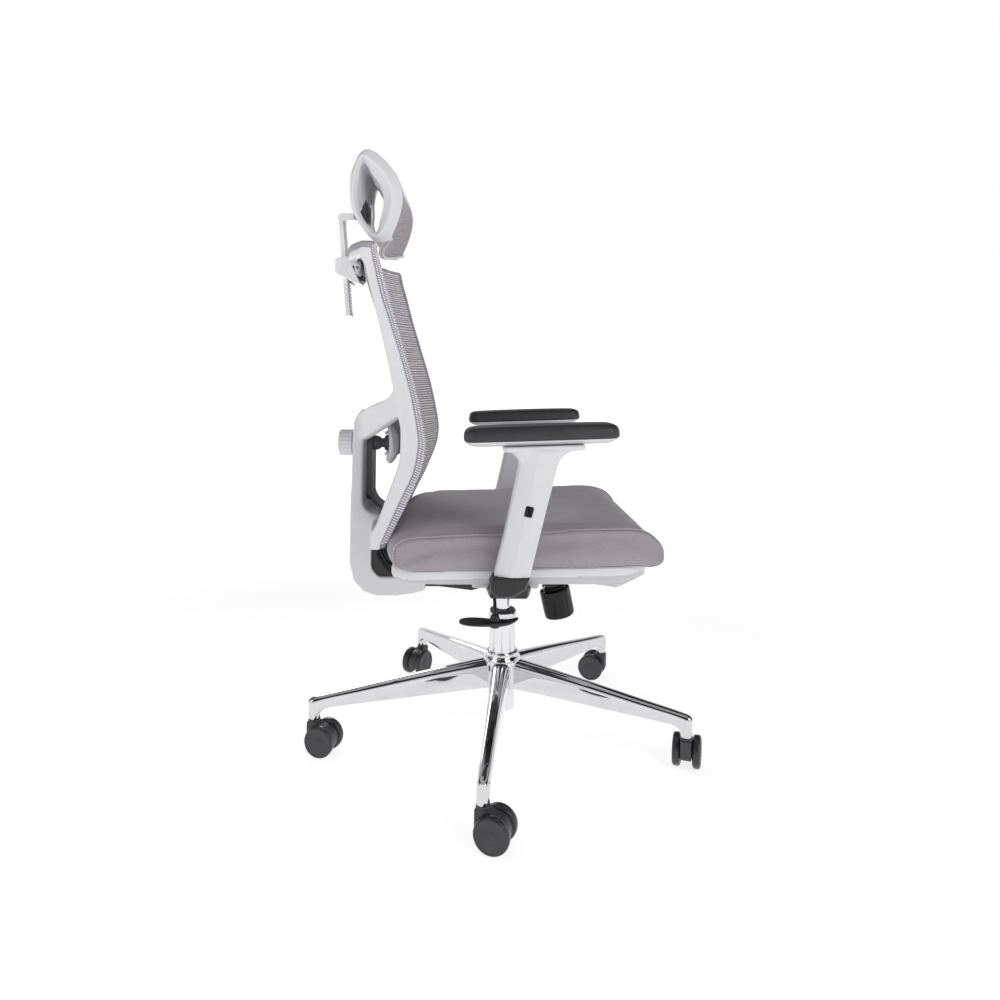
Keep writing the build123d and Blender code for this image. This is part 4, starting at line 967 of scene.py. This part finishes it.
def build_back_shell():
    s = Shape()
    # side rails
    for sy in (-1, 1):
        rings = []
        for z in np.linspace(421, 924, 90):
            x0, x1 = float(rear_edge(z)[0]), float(front_edge(z)[0]) + 1.0
            q = soft_box(x0, x1, -208, -192, 3.5)
            rings.append(np.column_stack([q[:, 0], sy * -q[:, 1], np.full(len(q), z)]))
        s.rings(rings)
    # top rail, bowed to the rear
    rings = []
    for y in np.linspace(-207, 207, 80):
        c = float(top_mid(abs(y))[0])
        d = 8.5 + 2.0 * (abs(y) / 208) ** 4
        low = 910 + 7.0 * max(0.0, 1 - (y / 175) ** 2)
        q = soft_box(c - d, c + d, low, 924.5, 3.2)
        rings.append(np.column_stack([q[:, 0], np.full(len(q), y), q[:, 1]]))
    s.rings(rings)
    # bottom rail
    rings = []
    low = curve_of([(0, -238), (50, -237.5), (75, -236), (140, -230), (175, -224), (205, -219)])
    for y in np.linspace(-206, 206, 60):
        c = float(low(abs(y))[0])
        q = soft_box(c - 7.5, c + 7.5, 422, 444, 3.5)
        rings.append(np.column_stack([q[:, 0], np.full(len(q), y), q[:, 1]]))
    s.rings(rings)
    # spine and the foot that runs in under the seat; its window side is rounded off and scooped at the bottom
    spine = rounded([(-256, 650), (-269, 646), (-281, 625), (-283, 544), (-285, 448), (-285, 366), (-277, 333), (-258, 313), (-236, 305.5), (-200, 305.5), (-172, 309), (-146, 315.5), (-146, 337), (-200, 339.5), (-232, 340), (-245.5, 356), (-245.5, 421), (-226, 422), (-224, 452), (-262, 462), (-262, 540), (-262, 596), (-250, 640)], [6, 16, 24, 0, 0, 26, 22, 18, 12, 20, 0, 3, 3, 20, 10, 16, 2, 2, 4, 34, 0, 8, 6], 8)
    window = np.array([1.0 if (z > 446 and z < 600 and x > -263.5) else 0.0 for x, z in spine])
    window = np.convolve(np.concatenate([window[-2:], window, window[:2]]), np.ones(5) / 5, "valid")
    rings = []
    for y in (-72, -71.2, -69.6, -67, -63, -58, -52, -30, 0, 30, 52, 58, 63, 67, 69.6, 71.2, 72):
        g = max(0.0, (abs(y) - 67) / 5)
        q = inset(spine, window * 3.2 * (1 - math.sqrt(max(0.0, 1 - g * g))))
        rings.append(np.stack([q[:, 0], np.full(len(q), float(y)), q[:, 1]], 1))
    s.rings(rings)
    # arms from the spine to the rails
    top = curve_of([(58, -276, 630), (75, -272, 640), (100, -258, 650.5), (125, -246, 657), (150, -229, 664), (170, -213, 671), (184, -203, 680), (193, -197, 692), (200, -194, 706)])
    bot = curve_of([(58, -276, 588), (75, -269, 592), (100, -251, 603), (125, -232, 615), (150, -216, 626), (170, -203, 634.5), (184, -194, 639.5), (193, -189, 640.5), (200, -187, 641)])
    for sy in (-1, 1):
        rings = []
        for y in np.linspace(58, 201, 60):
            tx, tz = top(y)
            bx, bz = bot(y)
            g = np.clip((y - 150) / 50, 0, 1)
            depth = 22 - 4 * g
            q = rounded([(tx, tz), (bx, bz + 5.5), (bx + 4.5, bz + 0.5), (bx + depth, bz + 3), (tx + depth, tz + 3)], [4.5, 2, 2, 4, 4], 4)
            rings.append(np.column_stack([q[:, 0], np.full(len(q), sy * y), q[:, 1]]))
        s.rings(rings)
    # lug under the top rail that carries the headrest clamp
    lug = rounded([(-286, 923), (-286, 912), (-285, 903), (-282, 896), (-278, 896.5), (-275, 903), (-273.4, 913), (-273.8, 923)], [1, 2, 2, 1.4, 1.4, 2, 2, 1], 4)
    s.prism_y(lug, -58, 58)
    o = s.make("back_shell", mat_white, 0)
    moulded(o, 2.0, 6)
    # bolt wells in the spine, lug eyes
    t = Shape()
    for y in (-25, 25):
        t.lathe([(6.8, -292), (6.8, -279.2)], Matrix.Translation((0, y, 434)), 32, "X")
    for y in (-1, 1):
        t.lathe([(3.2, y * 50), (3.2, y * 66)], Matrix.Translation((-279.6, 0, 909)), 32, "Y")
    cut(o, t.make("wells", None, 0))
    finish_shading(o.data, 45)
    own(o, "back", "white_plastic", "back_support", "back_frame")
    # black cover in the corner between the spine and its foot
    c = Shape()
    c.prism_y([(-249, 338), (-207, 337.5), (-211, 350), (-223, 361), (-232, 376), (-238, 396), (-241, 421), (-249, 421)], -67, 67)
    for y in (-56, -28, 0, 28, 56):
        c.prism_y([(-224, 340), (-204.5, 340), (-208.5, 351), (-220.5, 362), (-229.5, 377), (-235.5, 396), (-240, 396)], y - 2, y + 2)
    o = c.make("back_corner_cover", mat_black, 0)
    moulded(o, 1.6, 3)
    own(o, "back", "black_plastic")
    # dark trim that runs down from the lumbar guide and along the scoop
    line = smooth_line([(-255.5, 500), (-255, 490), (-251.5, 478), (-244.5, 468), (-235, 461), (-226, 457.5)], 30)
    tan = np.gradient(line, axis=0)
    nrm = np.stack([-tan[:, 1], tan[:, 0]], 1) / np.linalg.norm(tan, axis=1, keepdims=True)
    c = Shape()
    c.prism_y(np.vstack([line + 3.2 * nrm, (line - 3.2 * nrm)[::-1]]), -27, 27)
    o = c.make("lumbar_guide_trim", mat_grey, 0)
    moulded(o, 1.2, 3)
    own(o, "back", "grey_plastic")
    # black block behind the clamp
    c = Shape()
    c.prism_y([(-300, 925), (-283, 925), (-278, 910), (-277, 889), (-284, 887.5), (-292, 900)], -26, 26)
    for z in (893, 899, 905, 911):
        c.prism_y([(-290, z), (-276.4, z), (-276.4, z + 2.4), (-290, z + 2.4)], -27.2, 27.2)
    o = c.make("clamp_block", mat_black, 0)
    moulded(o, 1.0, 2)
    own(o, "back", "black_plastic")


def build_ring():
    """Cloth-wrapped ring in front of the white frame, with two rows of edge stitches."""
    s = Shape()
    for sy in (-1, 1):
        rings = []
        for z in np.linspace(424, 931.5, 100):
            x0, x1 = float(front_edge(min(z, 924))[0]) + 0.6, float(ring_edge(z)[0])
            q = soft_box(x0, x1, -209.6, -190.5, 4.6, 5)
            rings.append(np.column_stack([q[:, 0], -sy * q[:, 1], np.full(len(q), z)]))
        s.rings(rings)
    rings = []
    for y in np.linspace(-200, 200, 50):
        c = float(curve_of([(0, -225), (75, -223), (140, -217), (191, -209), (200, -206)])(abs(y))[0])
        q = soft_box(c - 4.6, c + 5, 426.5, 440, 4, 4)
        rings.append(np.column_stack([q[:, 0], np.full(len(q), y), q[:, 1]]))
    s.rings(rings)
    o = s.make("mesh_ring_sides", mat_band, 0)
    moulded(o, 2.2, 4)
    own(o, "back", "mesh_fabric", "mesh_ring")
    # top of the ring: ribs wrapped across it
    t = Shape()
    rings = []
    pitch = 6.6
    ys = np.arange(-208.5, 208.6, pitch / 8)
    for i, y in enumerate(ys):
        c = float(top_mid(min(208, abs(y)))[0])
        wave = abs(math.sin(math.pi * y / pitch)) ** 0.6
        end = math.sqrt(max(0.0, 1 - (max(0.0, abs(y) - 203.5) / 5.4) ** 2))
        g = 2.3 * (1 - wave)
        front = 20.5 - 4.5 * min(1.0, max(0.0, (abs(y) - 150) / 40))
        q = soft_box(c - 9.8 + g, c + front - g, 923.2, 923.2 + (11.8 - g) * (0.3 + 0.7 * end), 4.2 * (0.4 + 0.6 * end), 4)
        rings.append(np.column_stack([q[:, 0], np.full(len(q), y), q[:, 1]]))
    t.rings(rings)
    o = t.make("mesh_ring_top", mat_ribs, 50)
    own(o, "back", "mesh_fabric")
    # edge stitches in two columns down each side
    b = Shape()
    zs = np.arange(433, 927, 4.0)
    for sy in (-1, 1):
        for col, (lo, hi) in enumerate(((0.04, 0.50), (0.54, 1.0))):
            for z in zs + 2.0 * col:
                x0, x1 = float(front_edge(min(z, 921))[0]) + 0.4, float(ring_edge(z)[0])
                w = x1 - x0
                a, e = x0 + lo * w, x0 + hi * w
                drop = 0.9
                y0, y1 = (-209.6, -209.6) if col == 0 else (-209.6, -207.2)
                b.capsule((a, sy * -y0, z + drop), (e, sy * -y1, z - drop), 1.42, 7, 0.95, (0, sy, 0))
    o = b.make("mesh_ring_stitches", mat_bead, 0)
    own(o, "back", "mesh_fabric")


mesh_hollow = curve_of([(430, 14), (470, 20), (499, 23), (540, 27), (571, 30), (640, 33), (700, 37), (762, 41), (830, 45), (887, 48), (926, 44)])


def build_back_mesh():
    """Ribbed knitted sheet stretched across the ring and wrapped over its front. Its ribs are uneven, as knitted rows are."""
    ys = np.concatenate([[-208.2, -206.5, -204, -200, -196], np.linspace(-191.5, 191.5, 72), [196, 200, 204, 206.5, 208.2]])
    rows, z = [], 437.0
    rng = np.random.default_rng(7)
    while z < 927.5:
        pitch = 4.9 + 2.2 * (rng.random() - 0.5)
        rows += [(z + pitch * f, h) for f, h in ((0.0, 0.0), (0.10, 0.45), (0.24, 0.85), (0.42, 1.0), (0.60, 0.85), (0.74, 0.45), (0.82, 0.0))]
        z += pitch
    rows = [(min(z, 928.5), h) for z, h in rows]
    s = Shape()
    grid = []
    for z, h in rows:
        ex, hol = float(ring_edge(z)[0]), float(mesh_hollow(z)[0])
        g = np.clip(np.abs(ys) / 200.0, 0, 1)
        fold = np.clip((np.abs(ys) - 203.0) / 5.2, 0, 1)
        x = ex + 0.4 - hol * (1 - g ** 2.6) - 4.4 * (1 - np.sqrt(1 - fold ** 2 * 0.97)) + 1.15 * h
        grid.append(np.stack([x, ys, np.full(len(ys), z)], 1))
    base = 0
    n = len(ys)
    for g in grid:
        s.v += [tuple(p) for p in g]
    for i in range(len(grid) - 1):
        for j in range(n - 1):
            s.f.append((i * n + j, i * n + j + 1, (i + 1) * n + j + 1, (i + 1) * n + j))
    o = s.make("back_mesh_sheet", mat_mesh, 0)
    # the thin rows between ribs are darker: painted shade for the open gaps between the ribs
    o.data.materials.append(mat_gap_shade)
    idx = []
    for i in range(len(grid) - 1):
        thin = rows[i][1] + rows[i + 1][1] < 0.5
        idx += [1 if thin else 0] * (n - 1)
    o.data.polygons.foreach_set("material_index", idx)
    th = o.modifiers.new("cloth_thickness", "SOLIDIFY")
    th.thickness = 0.0012
    th.offset = -1.0
    baked(o)
    own(o, "back", "mesh_fabric", "back_mesh")


def build_lumbar():
    paint(mat_white, "lumbar_knob")
    paint(mat_grey, "lumbar_rod", "lumbar_guide")
    s = Shape()
    side = smooth_line([(-221, 556), (-214, 550), (-206, 556), (-199, 570), (-196.5, 586), (-199, 603), (-206, 617), (-213, 623), (-219, 618), (-217, 602), (-216.5, 574)], 80, True)
    rings = []
    for y in np.linspace(-96, 96, 49):
        g = abs(y) / 96
        k = (max(0.0, g - 0.86) / 0.14)
        q = inset(side, 4.5 * (1 - math.sqrt(max(0.0, 1 - k * k))))
        rings.append(np.stack([q[:, 0] + 7 * g * g - 3.0, np.full(len(q), y), q[:, 1]], 1))
    s.rings(rings)
    o = s.make("lumbar_pad_face", mat_pale, 60)
    own(o, "lumbar", "grey_plastic", "lumbar_pad")
    # the boss that takes the rod
    e = Shape()
    e.lathe([(9.2, -232), (13, -231.6), (15, -229), (16, -222), (16, -218)], Matrix.Translation((0, 0, 580)), 40, "X")
    o = e.make("lumbar_pad_boss", mat_grey, 40)
    own(o, "lumbar", "grey_plastic")
    # stiffening ribs across the rear of the pad
    e = Shape()
    for z in (566, 604):
        e.prism_y(rounded([(-224, z - 2.5), (-214, z - 2.5), (-214, z + 2.5), (-224, z + 2.5)], 1.6, 4), -70, 70, 1.4, 3)
    o = e.make("lumbar_pad_ribs", mat_pale, 40)
    own(o, "lumbar", "grey_plastic")
    # tapered boss on the guide, round the rod
    e = Shape()
    e.lathe([(9.3, -252.4), (14.2, -252.4), (14.0, -247), (12.6, -242.5), (11.0, -239.6), (10.2, -239), (9.3, -239)], Matrix.Translation((0, 0, 580)), 48, "X")
    o = e.make("lumbar_guide_boss", mat_grey, 40)
    own(o, "back", "grey_plastic")


# ------------------------------------------------------------------ headrest
HEAD_OUT = [(-258, 1116), (-243, 1111), (-225, 1096), (-211, 1080), (-202, 1067), (-196, 1050), (-193, 1032), (-194, 1014), (-201, 987), (-209, 967), (-214, 956), (-227, 948), (-243, 951), (-264, 973), (-280, 998), (-285, 1012), (-287.4, 1041), (-286.2, 1071), (-281, 1087), (-270, 1109)]
HEAD_HOLE = [(-263.5, 1091.5), (-258.5, 1086.5), (-249, 1071), (-235, 1053), (-228, 1031), (-228, 1013), (-233, 990), (-240, 967), (-254, 979), (-267.6, 1000), (-272.8, 1020), (-273.4, 1048), (-270.5, 1073), (-267.5, 1087)]


def build_headrest():
    outer = smooth_line(HEAD_OUT, 240, True)
    hole = smooth_line(HEAD_HOLE, 240, True)
    s = Shape()
    # two side rings, each with a crease between an outer and an inner facet
    ca = np.array((-247.0, 1022.0))
    grid = np.linspace(0, 2 * math.pi, 240, endpoint=False)

    def at_angle(loop):
        a = np.arctan2(loop[:, 1] - ca[1], loop[:, 0] - ca[0]) % (2 * math.pi)
        order = np.argsort(a)
        a, q = a[order], loop[order]
        a = np.concatenate([a - 2 * math.pi, a, a + 2 * math.pi])
        q = np.vstack([q, q, q])
        return np.stack([np.interp(grid, a, q[:, k]) for k in (0, 1)], 1)

    ro, rh = at_angle(outer), at_angle(hole)
    for sy in (-1, 1):
        def ring(k, y):
            q = ro * (1 - k) + rh * k
            return np.column_stack([q[:, 0], np.full(len(q), sy * y), q[:, 1]])
        s.rings([ring(0.10, 94), ring(0.09, 101.5), ring(0.0, 102.0), ring(0.0, 104.5), ring(0.04, 106.0), ring(0.43, 116.6), ring(0.50, 117.0), ring(0.57, 116.4), ring(0.93, 106.5), ring(0.99, 105), ring(1.0, 103), ring(1.0, 97), ring(0.98, 94)], loop=True)
    # each ring runs on inwards as a tapering wall along its upper rear
    for sy in (-1, 1):
        wall = []
        for i in np.flatnonzero((grid > math.radians(42)) & (grid < math.radians(205))):
            f = math.sin(math.pi * (grid[i] - math.radians(42)) / math.radians(163)) ** 0.8
            inward = (ca - rh[i]) / np.linalg.norm(ca - rh[i])
            root = rh[i] - inward * (2.5 + 8.5 * f)
            mid, end = rh[i] + inward * 4.5 * f, rh[i] + inward * 10.0 * f
            wall.append([(p[0], sy * y, p[1]) for p, y in ((root, 97), (root, 97 - 8 - 32 * f), (end - inward * 1.5, 97 - 8.5 - 33 * f), (end, 97 - 7 - 31 * f), (mid, 97 - 4 - 15 * f), (rh[i], 99.0))])
        s.rings(wall if sy > 0 else [w[::-1] for w in wall])
    # brow and the closed rear web between the rings
    brow = [(-284.4, 1050), (-284, 1071), (-280, 1087), (-270, 1108.4), (-258, 1115), (-243, 1110), (-225, 1095), (-211, 1079), (-202, 1066), (-197, 1051), (-204, 1049), (-210, 1062), (-220, 1076), (-234, 1089), (-248, 1099), (-259, 1103), (-266, 1098), (-272, 1084), (-276.5, 1068), (-276.5, 1050)]
    s.prism_y(brow, -98, 98)
    # two strips that carry the hinge
    strip = [(-284.8, 1056), (-284.6, 1016), (-281, 996), (-276.5, 996), (-277, 1056)]
    s.prism_y(strip, 10, 23)
    s.prism_y(strip, -23, -10)
    # lip under the mesh, lower and further back in the middle
    lip = []
    for y in np.linspace(-103, 103, 61):
        g = (y / 100) ** 2
        cx, cz = -241.0 + 26.0 * g, 940.8 + 15.0 * g
        lip.append([(cx - 6.0, y, cz + 5.0), (cx - 6.0, y, cz - 1.5), (cx - 3.5, y, cz - 4.4), (cx + 2.5, y, cz - 4.0), (cx + 4.6, y, cz - 1.6), (cx + 4.0, y, cz + 1.0), (cx - 0.6, y, cz + 1.6), (cx - 2.4, y, cz + 5.0)])
    s.rings(lip)
    o = s.make("headrest_shell", mat_white, 0)
    moulded(o, 1.4, 2)
    own(o, "headrest", "white_plastic", "headrest_frame")
    # ribbed mesh hung hollow between the rings and wrapped round their front edges
    edge = curve_of([(938, -226), (955, -215.5), (967, -209.5), (987, -201.5), (1014, -194.5), (1032, -193.3), (1051, -197)])
    dip = curve_of([(0.0, 19), (0.12, 22), (0.35, 27), (0.6, 24), (0.8, 15), (0.92, 7), (1.0, 4)])
    ys = np.concatenate([[-105.5, -104], np.linspace(-102, 102, 84), [104, 105.5]])
    m = Shape()
    rows, v = [], 0.0
    rng = np.random.default_rng(11)
    while v < 1.0:
        pitch = 0.052 + 0.010 * (rng.random() - 0.5)
        rows += [(min(1.0, v + pitch * f), h) for f, h in ((0.0, 0.0), (0.1, 0.6), (0.25, 1.2), (0.43, 1.2), (0.56, 0.6), (0.66, 0.0))]
        v += pitch
    rows.append((1.0, 0.0))
    grid = []
    for v, h in rows:
        g = np.clip(np.abs(ys) / 98.0, 0, 1)
        low = 942.5 + 15.0 * g ** 2
        z = low + (1051.0 - low) * v
        wrap = np.clip(np.abs(ys) - 100.0, 0, None)
        x = edge(z)[:, 0] - float(dip(v)[0]) * (1 - g ** 2) - 0.12 * wrap ** 2 + 1.1 * h * (1 - 0.7 * g ** 8)
        grid.append(np.stack([x, ys, z], 1))
    n = len(ys)
    for q in grid:
        m.v += [tuple(p) for p in q]
    for i in range(len(grid) - 1):
        for j in range(n - 1):
            m.f.append((i * n + j, i * n + j + 1, (i + 1) * n + j + 1, (i + 1) * n + j))
    o = m.make("headrest_mesh_sheet", mat_head_mesh, 0)
    # the thin rows between ribs are darker: painted shade for the open gaps between the ribs
    o.data.materials.append(mat_head_gap_shade)
    idx = []
    for i in range(len(grid) - 1):
        thin = rows[i][1] + rows[i + 1][1] < 0.3
        idx += [1 if thin else 0] * (n - 1)
    if len(idx) == len(o.data.polygons):
        o.data.polygons.foreach_set("material_index", idx)
    th = o.modifiers.new("cloth_thickness", "SOLIDIFY")
    th.thickness = 0.0012
    th.offset = -1.0
    baked(o)
    own(o, "headrest", "mesh_fabric", "headrest_mesh")
    # hinge: a barrel round the pivot, a ribbed plate above it and a short tail
    h = Shape()
    h.lathe([(3.0, -25.4), (8.0, -25.4), (9.4, -24.4), (9.6, -22.0), (9.0, -19.0), (7.6, -17.6), (7.6, 17.6), (9.0, 19.0), (9.6, 22.0), (9.4, 24.4), (8.0, 25.4), (3.0, 25.4)], Matrix.Translation((-284, 0, 1012)), 36, "Y")
    h.prism_y([(-283, 1012), (-278, 1030), (-275, 1042), (-271, 1042.6), (-268.5, 1036), (-269, 1016), (-271, 1004), (-276, 1003)], -23, 23)
    h.prism_y([(-284, 1008), (-270, 1008), (-266.5, 1000), (-266.8, 992), (-271, 991.4), (-279, 997)], -19, 19)
    for y in (-17, 0, 17):
        h.prism_y([(-281, 1012), (-272, 1039), (-267.2, 1036), (-267, 1002), (-271, 995), (-279, 1002)], y - 2.6, y + 2.6)
    o = h.make("headrest_hinge_body", mat_hinge, 0)
    moulded(o, 1.0, 2)
    own(o, "headrest", "grey_plastic", "headrest_hinge")
    # painted light: the bar takes the lighter copy of the white plastic
    paint(mat_white_painted_light, "headrest_bar")
    # clamp on the bar: a rounded box with a sloping rear face, in the lighter copy of the white plastic as painted
    # light
    c = Shape()
    c.prism_y([(-328, 928), (-324, 931), (-306, 935.5), (-302.5, 934.5), (-292, 911), (-279.5, 886), (-281, 884.2), (-294, 885.5), (-307, 893.5), (-322, 899.5), (-327, 904)], -27.5, 27.5)
    o = c.make("headrest_clamp_box", mat_white_painted_light, 0)
    moulded(o, 1.2, 5)
    own(o, "back", "white_plastic", "headrest_clamp")
    paint(mat_black, "clamp_insert")


# ------------------------------------------------------------------ stage: camera, floor, light
def build_stage():
    yaw, roll = math.radians(1.515), math.radians(0.786)
    fwd = np.array((math.sin(yaw), math.cos(yaw), 0.0))
    r0 = np.array((math.cos(yaw), -math.sin(yaw), 0.0))
    u0 = np.cross(r0, fwd)
    right = r0 * math.cos(roll) + u0 * math.sin(roll)
    up = -r0 * math.sin(roll) + u0 * math.cos(roll)
    data = bpy.data.cameras.new("camera")
    data.sensor_width = 36.0
    data.lens = 0.7559 * 36.0
    data.shift_y = -0.127
    data.clip_end = 200
    cam = bpy.data.objects.new("camera", data)
    m = Matrix.Identity(4)
    for k in range(3):
        m[k][0], m[k][1], m[k][2] = right[k], up[k], -fwd[k]
    m[0][3], m[1][3], m[2][3] = -0.0501, -1.4651, 0.7176 - DROP * MM
    cam.matrix_world = m
    scene.collection.objects.link(cam)
    scene.camera = cam

    me = bpy.data.meshes.new("floor")
    me.from_pydata([(-40, -40, 0), (40, -40, 0), (40, 40, 0), (-40, 40, 0)], [], [(0, 1, 2, 3)])
    floor = bpy.data.objects.new("floor", me)
    scene.collection.objects.link(floor)
    fm = Mat("pale_floor", (0.45, 0.45, 0.45), 0.8, **{"Emission_Color": (1, 1, 1, 1), "Emission_Strength": 0.80})
    fm.color(fm.ramp(fm.noise(0.8, 3), [(0.3, (0.44, 0.44, 0.44)), (0.7, (0.46, 0.46, 0.46))]))
    # the floor brightens away from the chair
    t = fm.m.node_tree
    place = t.nodes.new("ShaderNodeTexCoord")
    far = t.nodes.new("ShaderNodeVectorMath")
    far.operation = "LENGTH"
    glow = t.nodes.new("ShaderNodeMapRange")
    for k, v in ((1, 0.9), (2, 3.5), (3, 0.80), (4, 1.1)):
        glow.inputs[k].default_value = v
    shader = next(x for x in t.nodes if x.type == "BSDF_PRINCIPLED")
    t.links.new(place.outputs["Object"], far.inputs[0])
    t.links.new(far.outputs["Value"], glow.inputs[0])
    t.links.new(glow.outputs[0], shader.inputs["Emission Strength"])
    me.materials.append(fm.m)

    world = bpy.data.worlds.new("studio")
    scene.world = world
    world.use_nodes = True
    t = world.node_tree
    t.nodes.clear()
    out = t.nodes.new("ShaderNodeOutputWorld")
    back = t.nodes.new("ShaderNodeBackground")
    room = t.nodes.new("ShaderNodeBackground")
    mix = t.nodes.new("ShaderNodeMixShader")
    path = t.nodes.new("ShaderNodeLightPath")
    back.inputs["Color"].default_value = (1, 1, 1, 1)
    back.inputs["Strength"].default_value = 1.0
    tc = t.nodes.new("ShaderNodeTexCoord")
    sep = t.nodes.new("ShaderNodeSeparateXYZ")
    ramp = t.nodes.new("ShaderNodeValToRGB")
    stops = [(0.0, 0.95), (0.22, 0.92), (0.33, 0.62), (0.41, 0.03), (0.78, 0.02), (0.90, 0.30), (1.0, 0.42)]
    while len(ramp.color_ramp.elements) < len(stops):
        ramp.color_ramp.elements.new(0.5)
    for e, (at, v) in zip(ramp.color_ramp.elements, stops):
        e.position = at
        e.color = (v, v, v * 1.01, 1)
    t.links.new(tc.outputs["Generated"], sep.inputs[0])
    t.links.new(sep.outputs["Z"], ramp.inputs["Fac"])
    turn = t.nodes.new("ShaderNodeTexGradient")
    turn.gradient_type = "RADIAL"
    flags = t.nodes.new("ShaderNodeValToRGB")
    marks = [(0.0, 0.95), (0.020, 0.35), (0.045, 0.95), (0.198, 0.95), (0.212, 0.30), (0.232, 0.95), (0.43, 0.95), (0.448, 0.35), (0.472, 0.40), (0.49, 0.95), (0.66, 0.95), (0.70, 0.45), (0.74, 0.95), (1.0, 0.95)]
    while len(flags.color_ramp.elements) < len(marks):
        flags.color_ramp.elements.new(0.5)
    for e, (at, v) in zip(flags.color_ramp.elements, marks):
        e.position = at
        e.color = (v, v, v, 1)
    both = t.nodes.new("ShaderNodeVectorMath")
    both.operation = "MULTIPLY"
    t.links.new(tc.outputs["Generated"], turn.inputs["Vector"])
    t.links.new(turn.outputs["Fac"], flags.inputs["Fac"])
    t.links.new(ramp.outputs["Color"], both.inputs[0])
    t.links.new(flags.outputs["Color"], both.inputs[1])
    t.links.new(both.outputs[0], room.inputs["Color"])
    room.inputs["Strength"].default_value = 1.0
    t.links.new(path.outputs["Is Camera Ray"], mix.inputs["Fac"])
    t.links.new(room.outputs[0], mix.inputs[1])
    t.links.new(back.outputs[0], mix.inputs[2])
    t.links.new(mix.outputs[0], out.inputs["Surface"])

    def area(name, place, aim, size, power):
        d = bpy.data.lights.new(name, "AREA")
        d.shape = "RECTANGLE"
        d.size, d.size_y = size
        d.energy = power
        o = bpy.data.objects.new(name, d)
        o.location = place
        o.rotation_mode = "QUATERNION"
        o.rotation_quaternion = (Vector(aim) - Vector(place)).to_track_quat("-Z", "Y")
        scene.collection.objects.link(o)

    area("overhead", (0.0, 0.1, 3.2), (0, 0, 0.4), (3.4, 3.4), 4)
    area("key", (1.9, -2.4, 2.3), (0, 0, 0.6), (1.6, 1.6), 34)
    area("fill", (-2.4, -1.8, 2.1), (-0.2, 0, 0.8), (1.8, 1.8), 15)
    area("low_rear", (-0.55, 1.1, 0.72), (-0.25, 0.0, 1.06), (0.5, 0.5), 3.2)
    scene.view_settings.view_transform = "Standard"


build_stage()
build_base()
build_casters()
build_mechanism()
build_pan()
build_cushion()
build_arms()
build_back_shell()
build_ring()
build_back_mesh()
build_lumbar()
build_headrest()

# every part that keeps its shape has a finish of its own
for n, o in nodes.items():
    if not o.hide_render and not any(m and m.use_nodes and len(m.node_tree.nodes) > 4 for m in o.data.materials):
        paint(mat_steel, n)
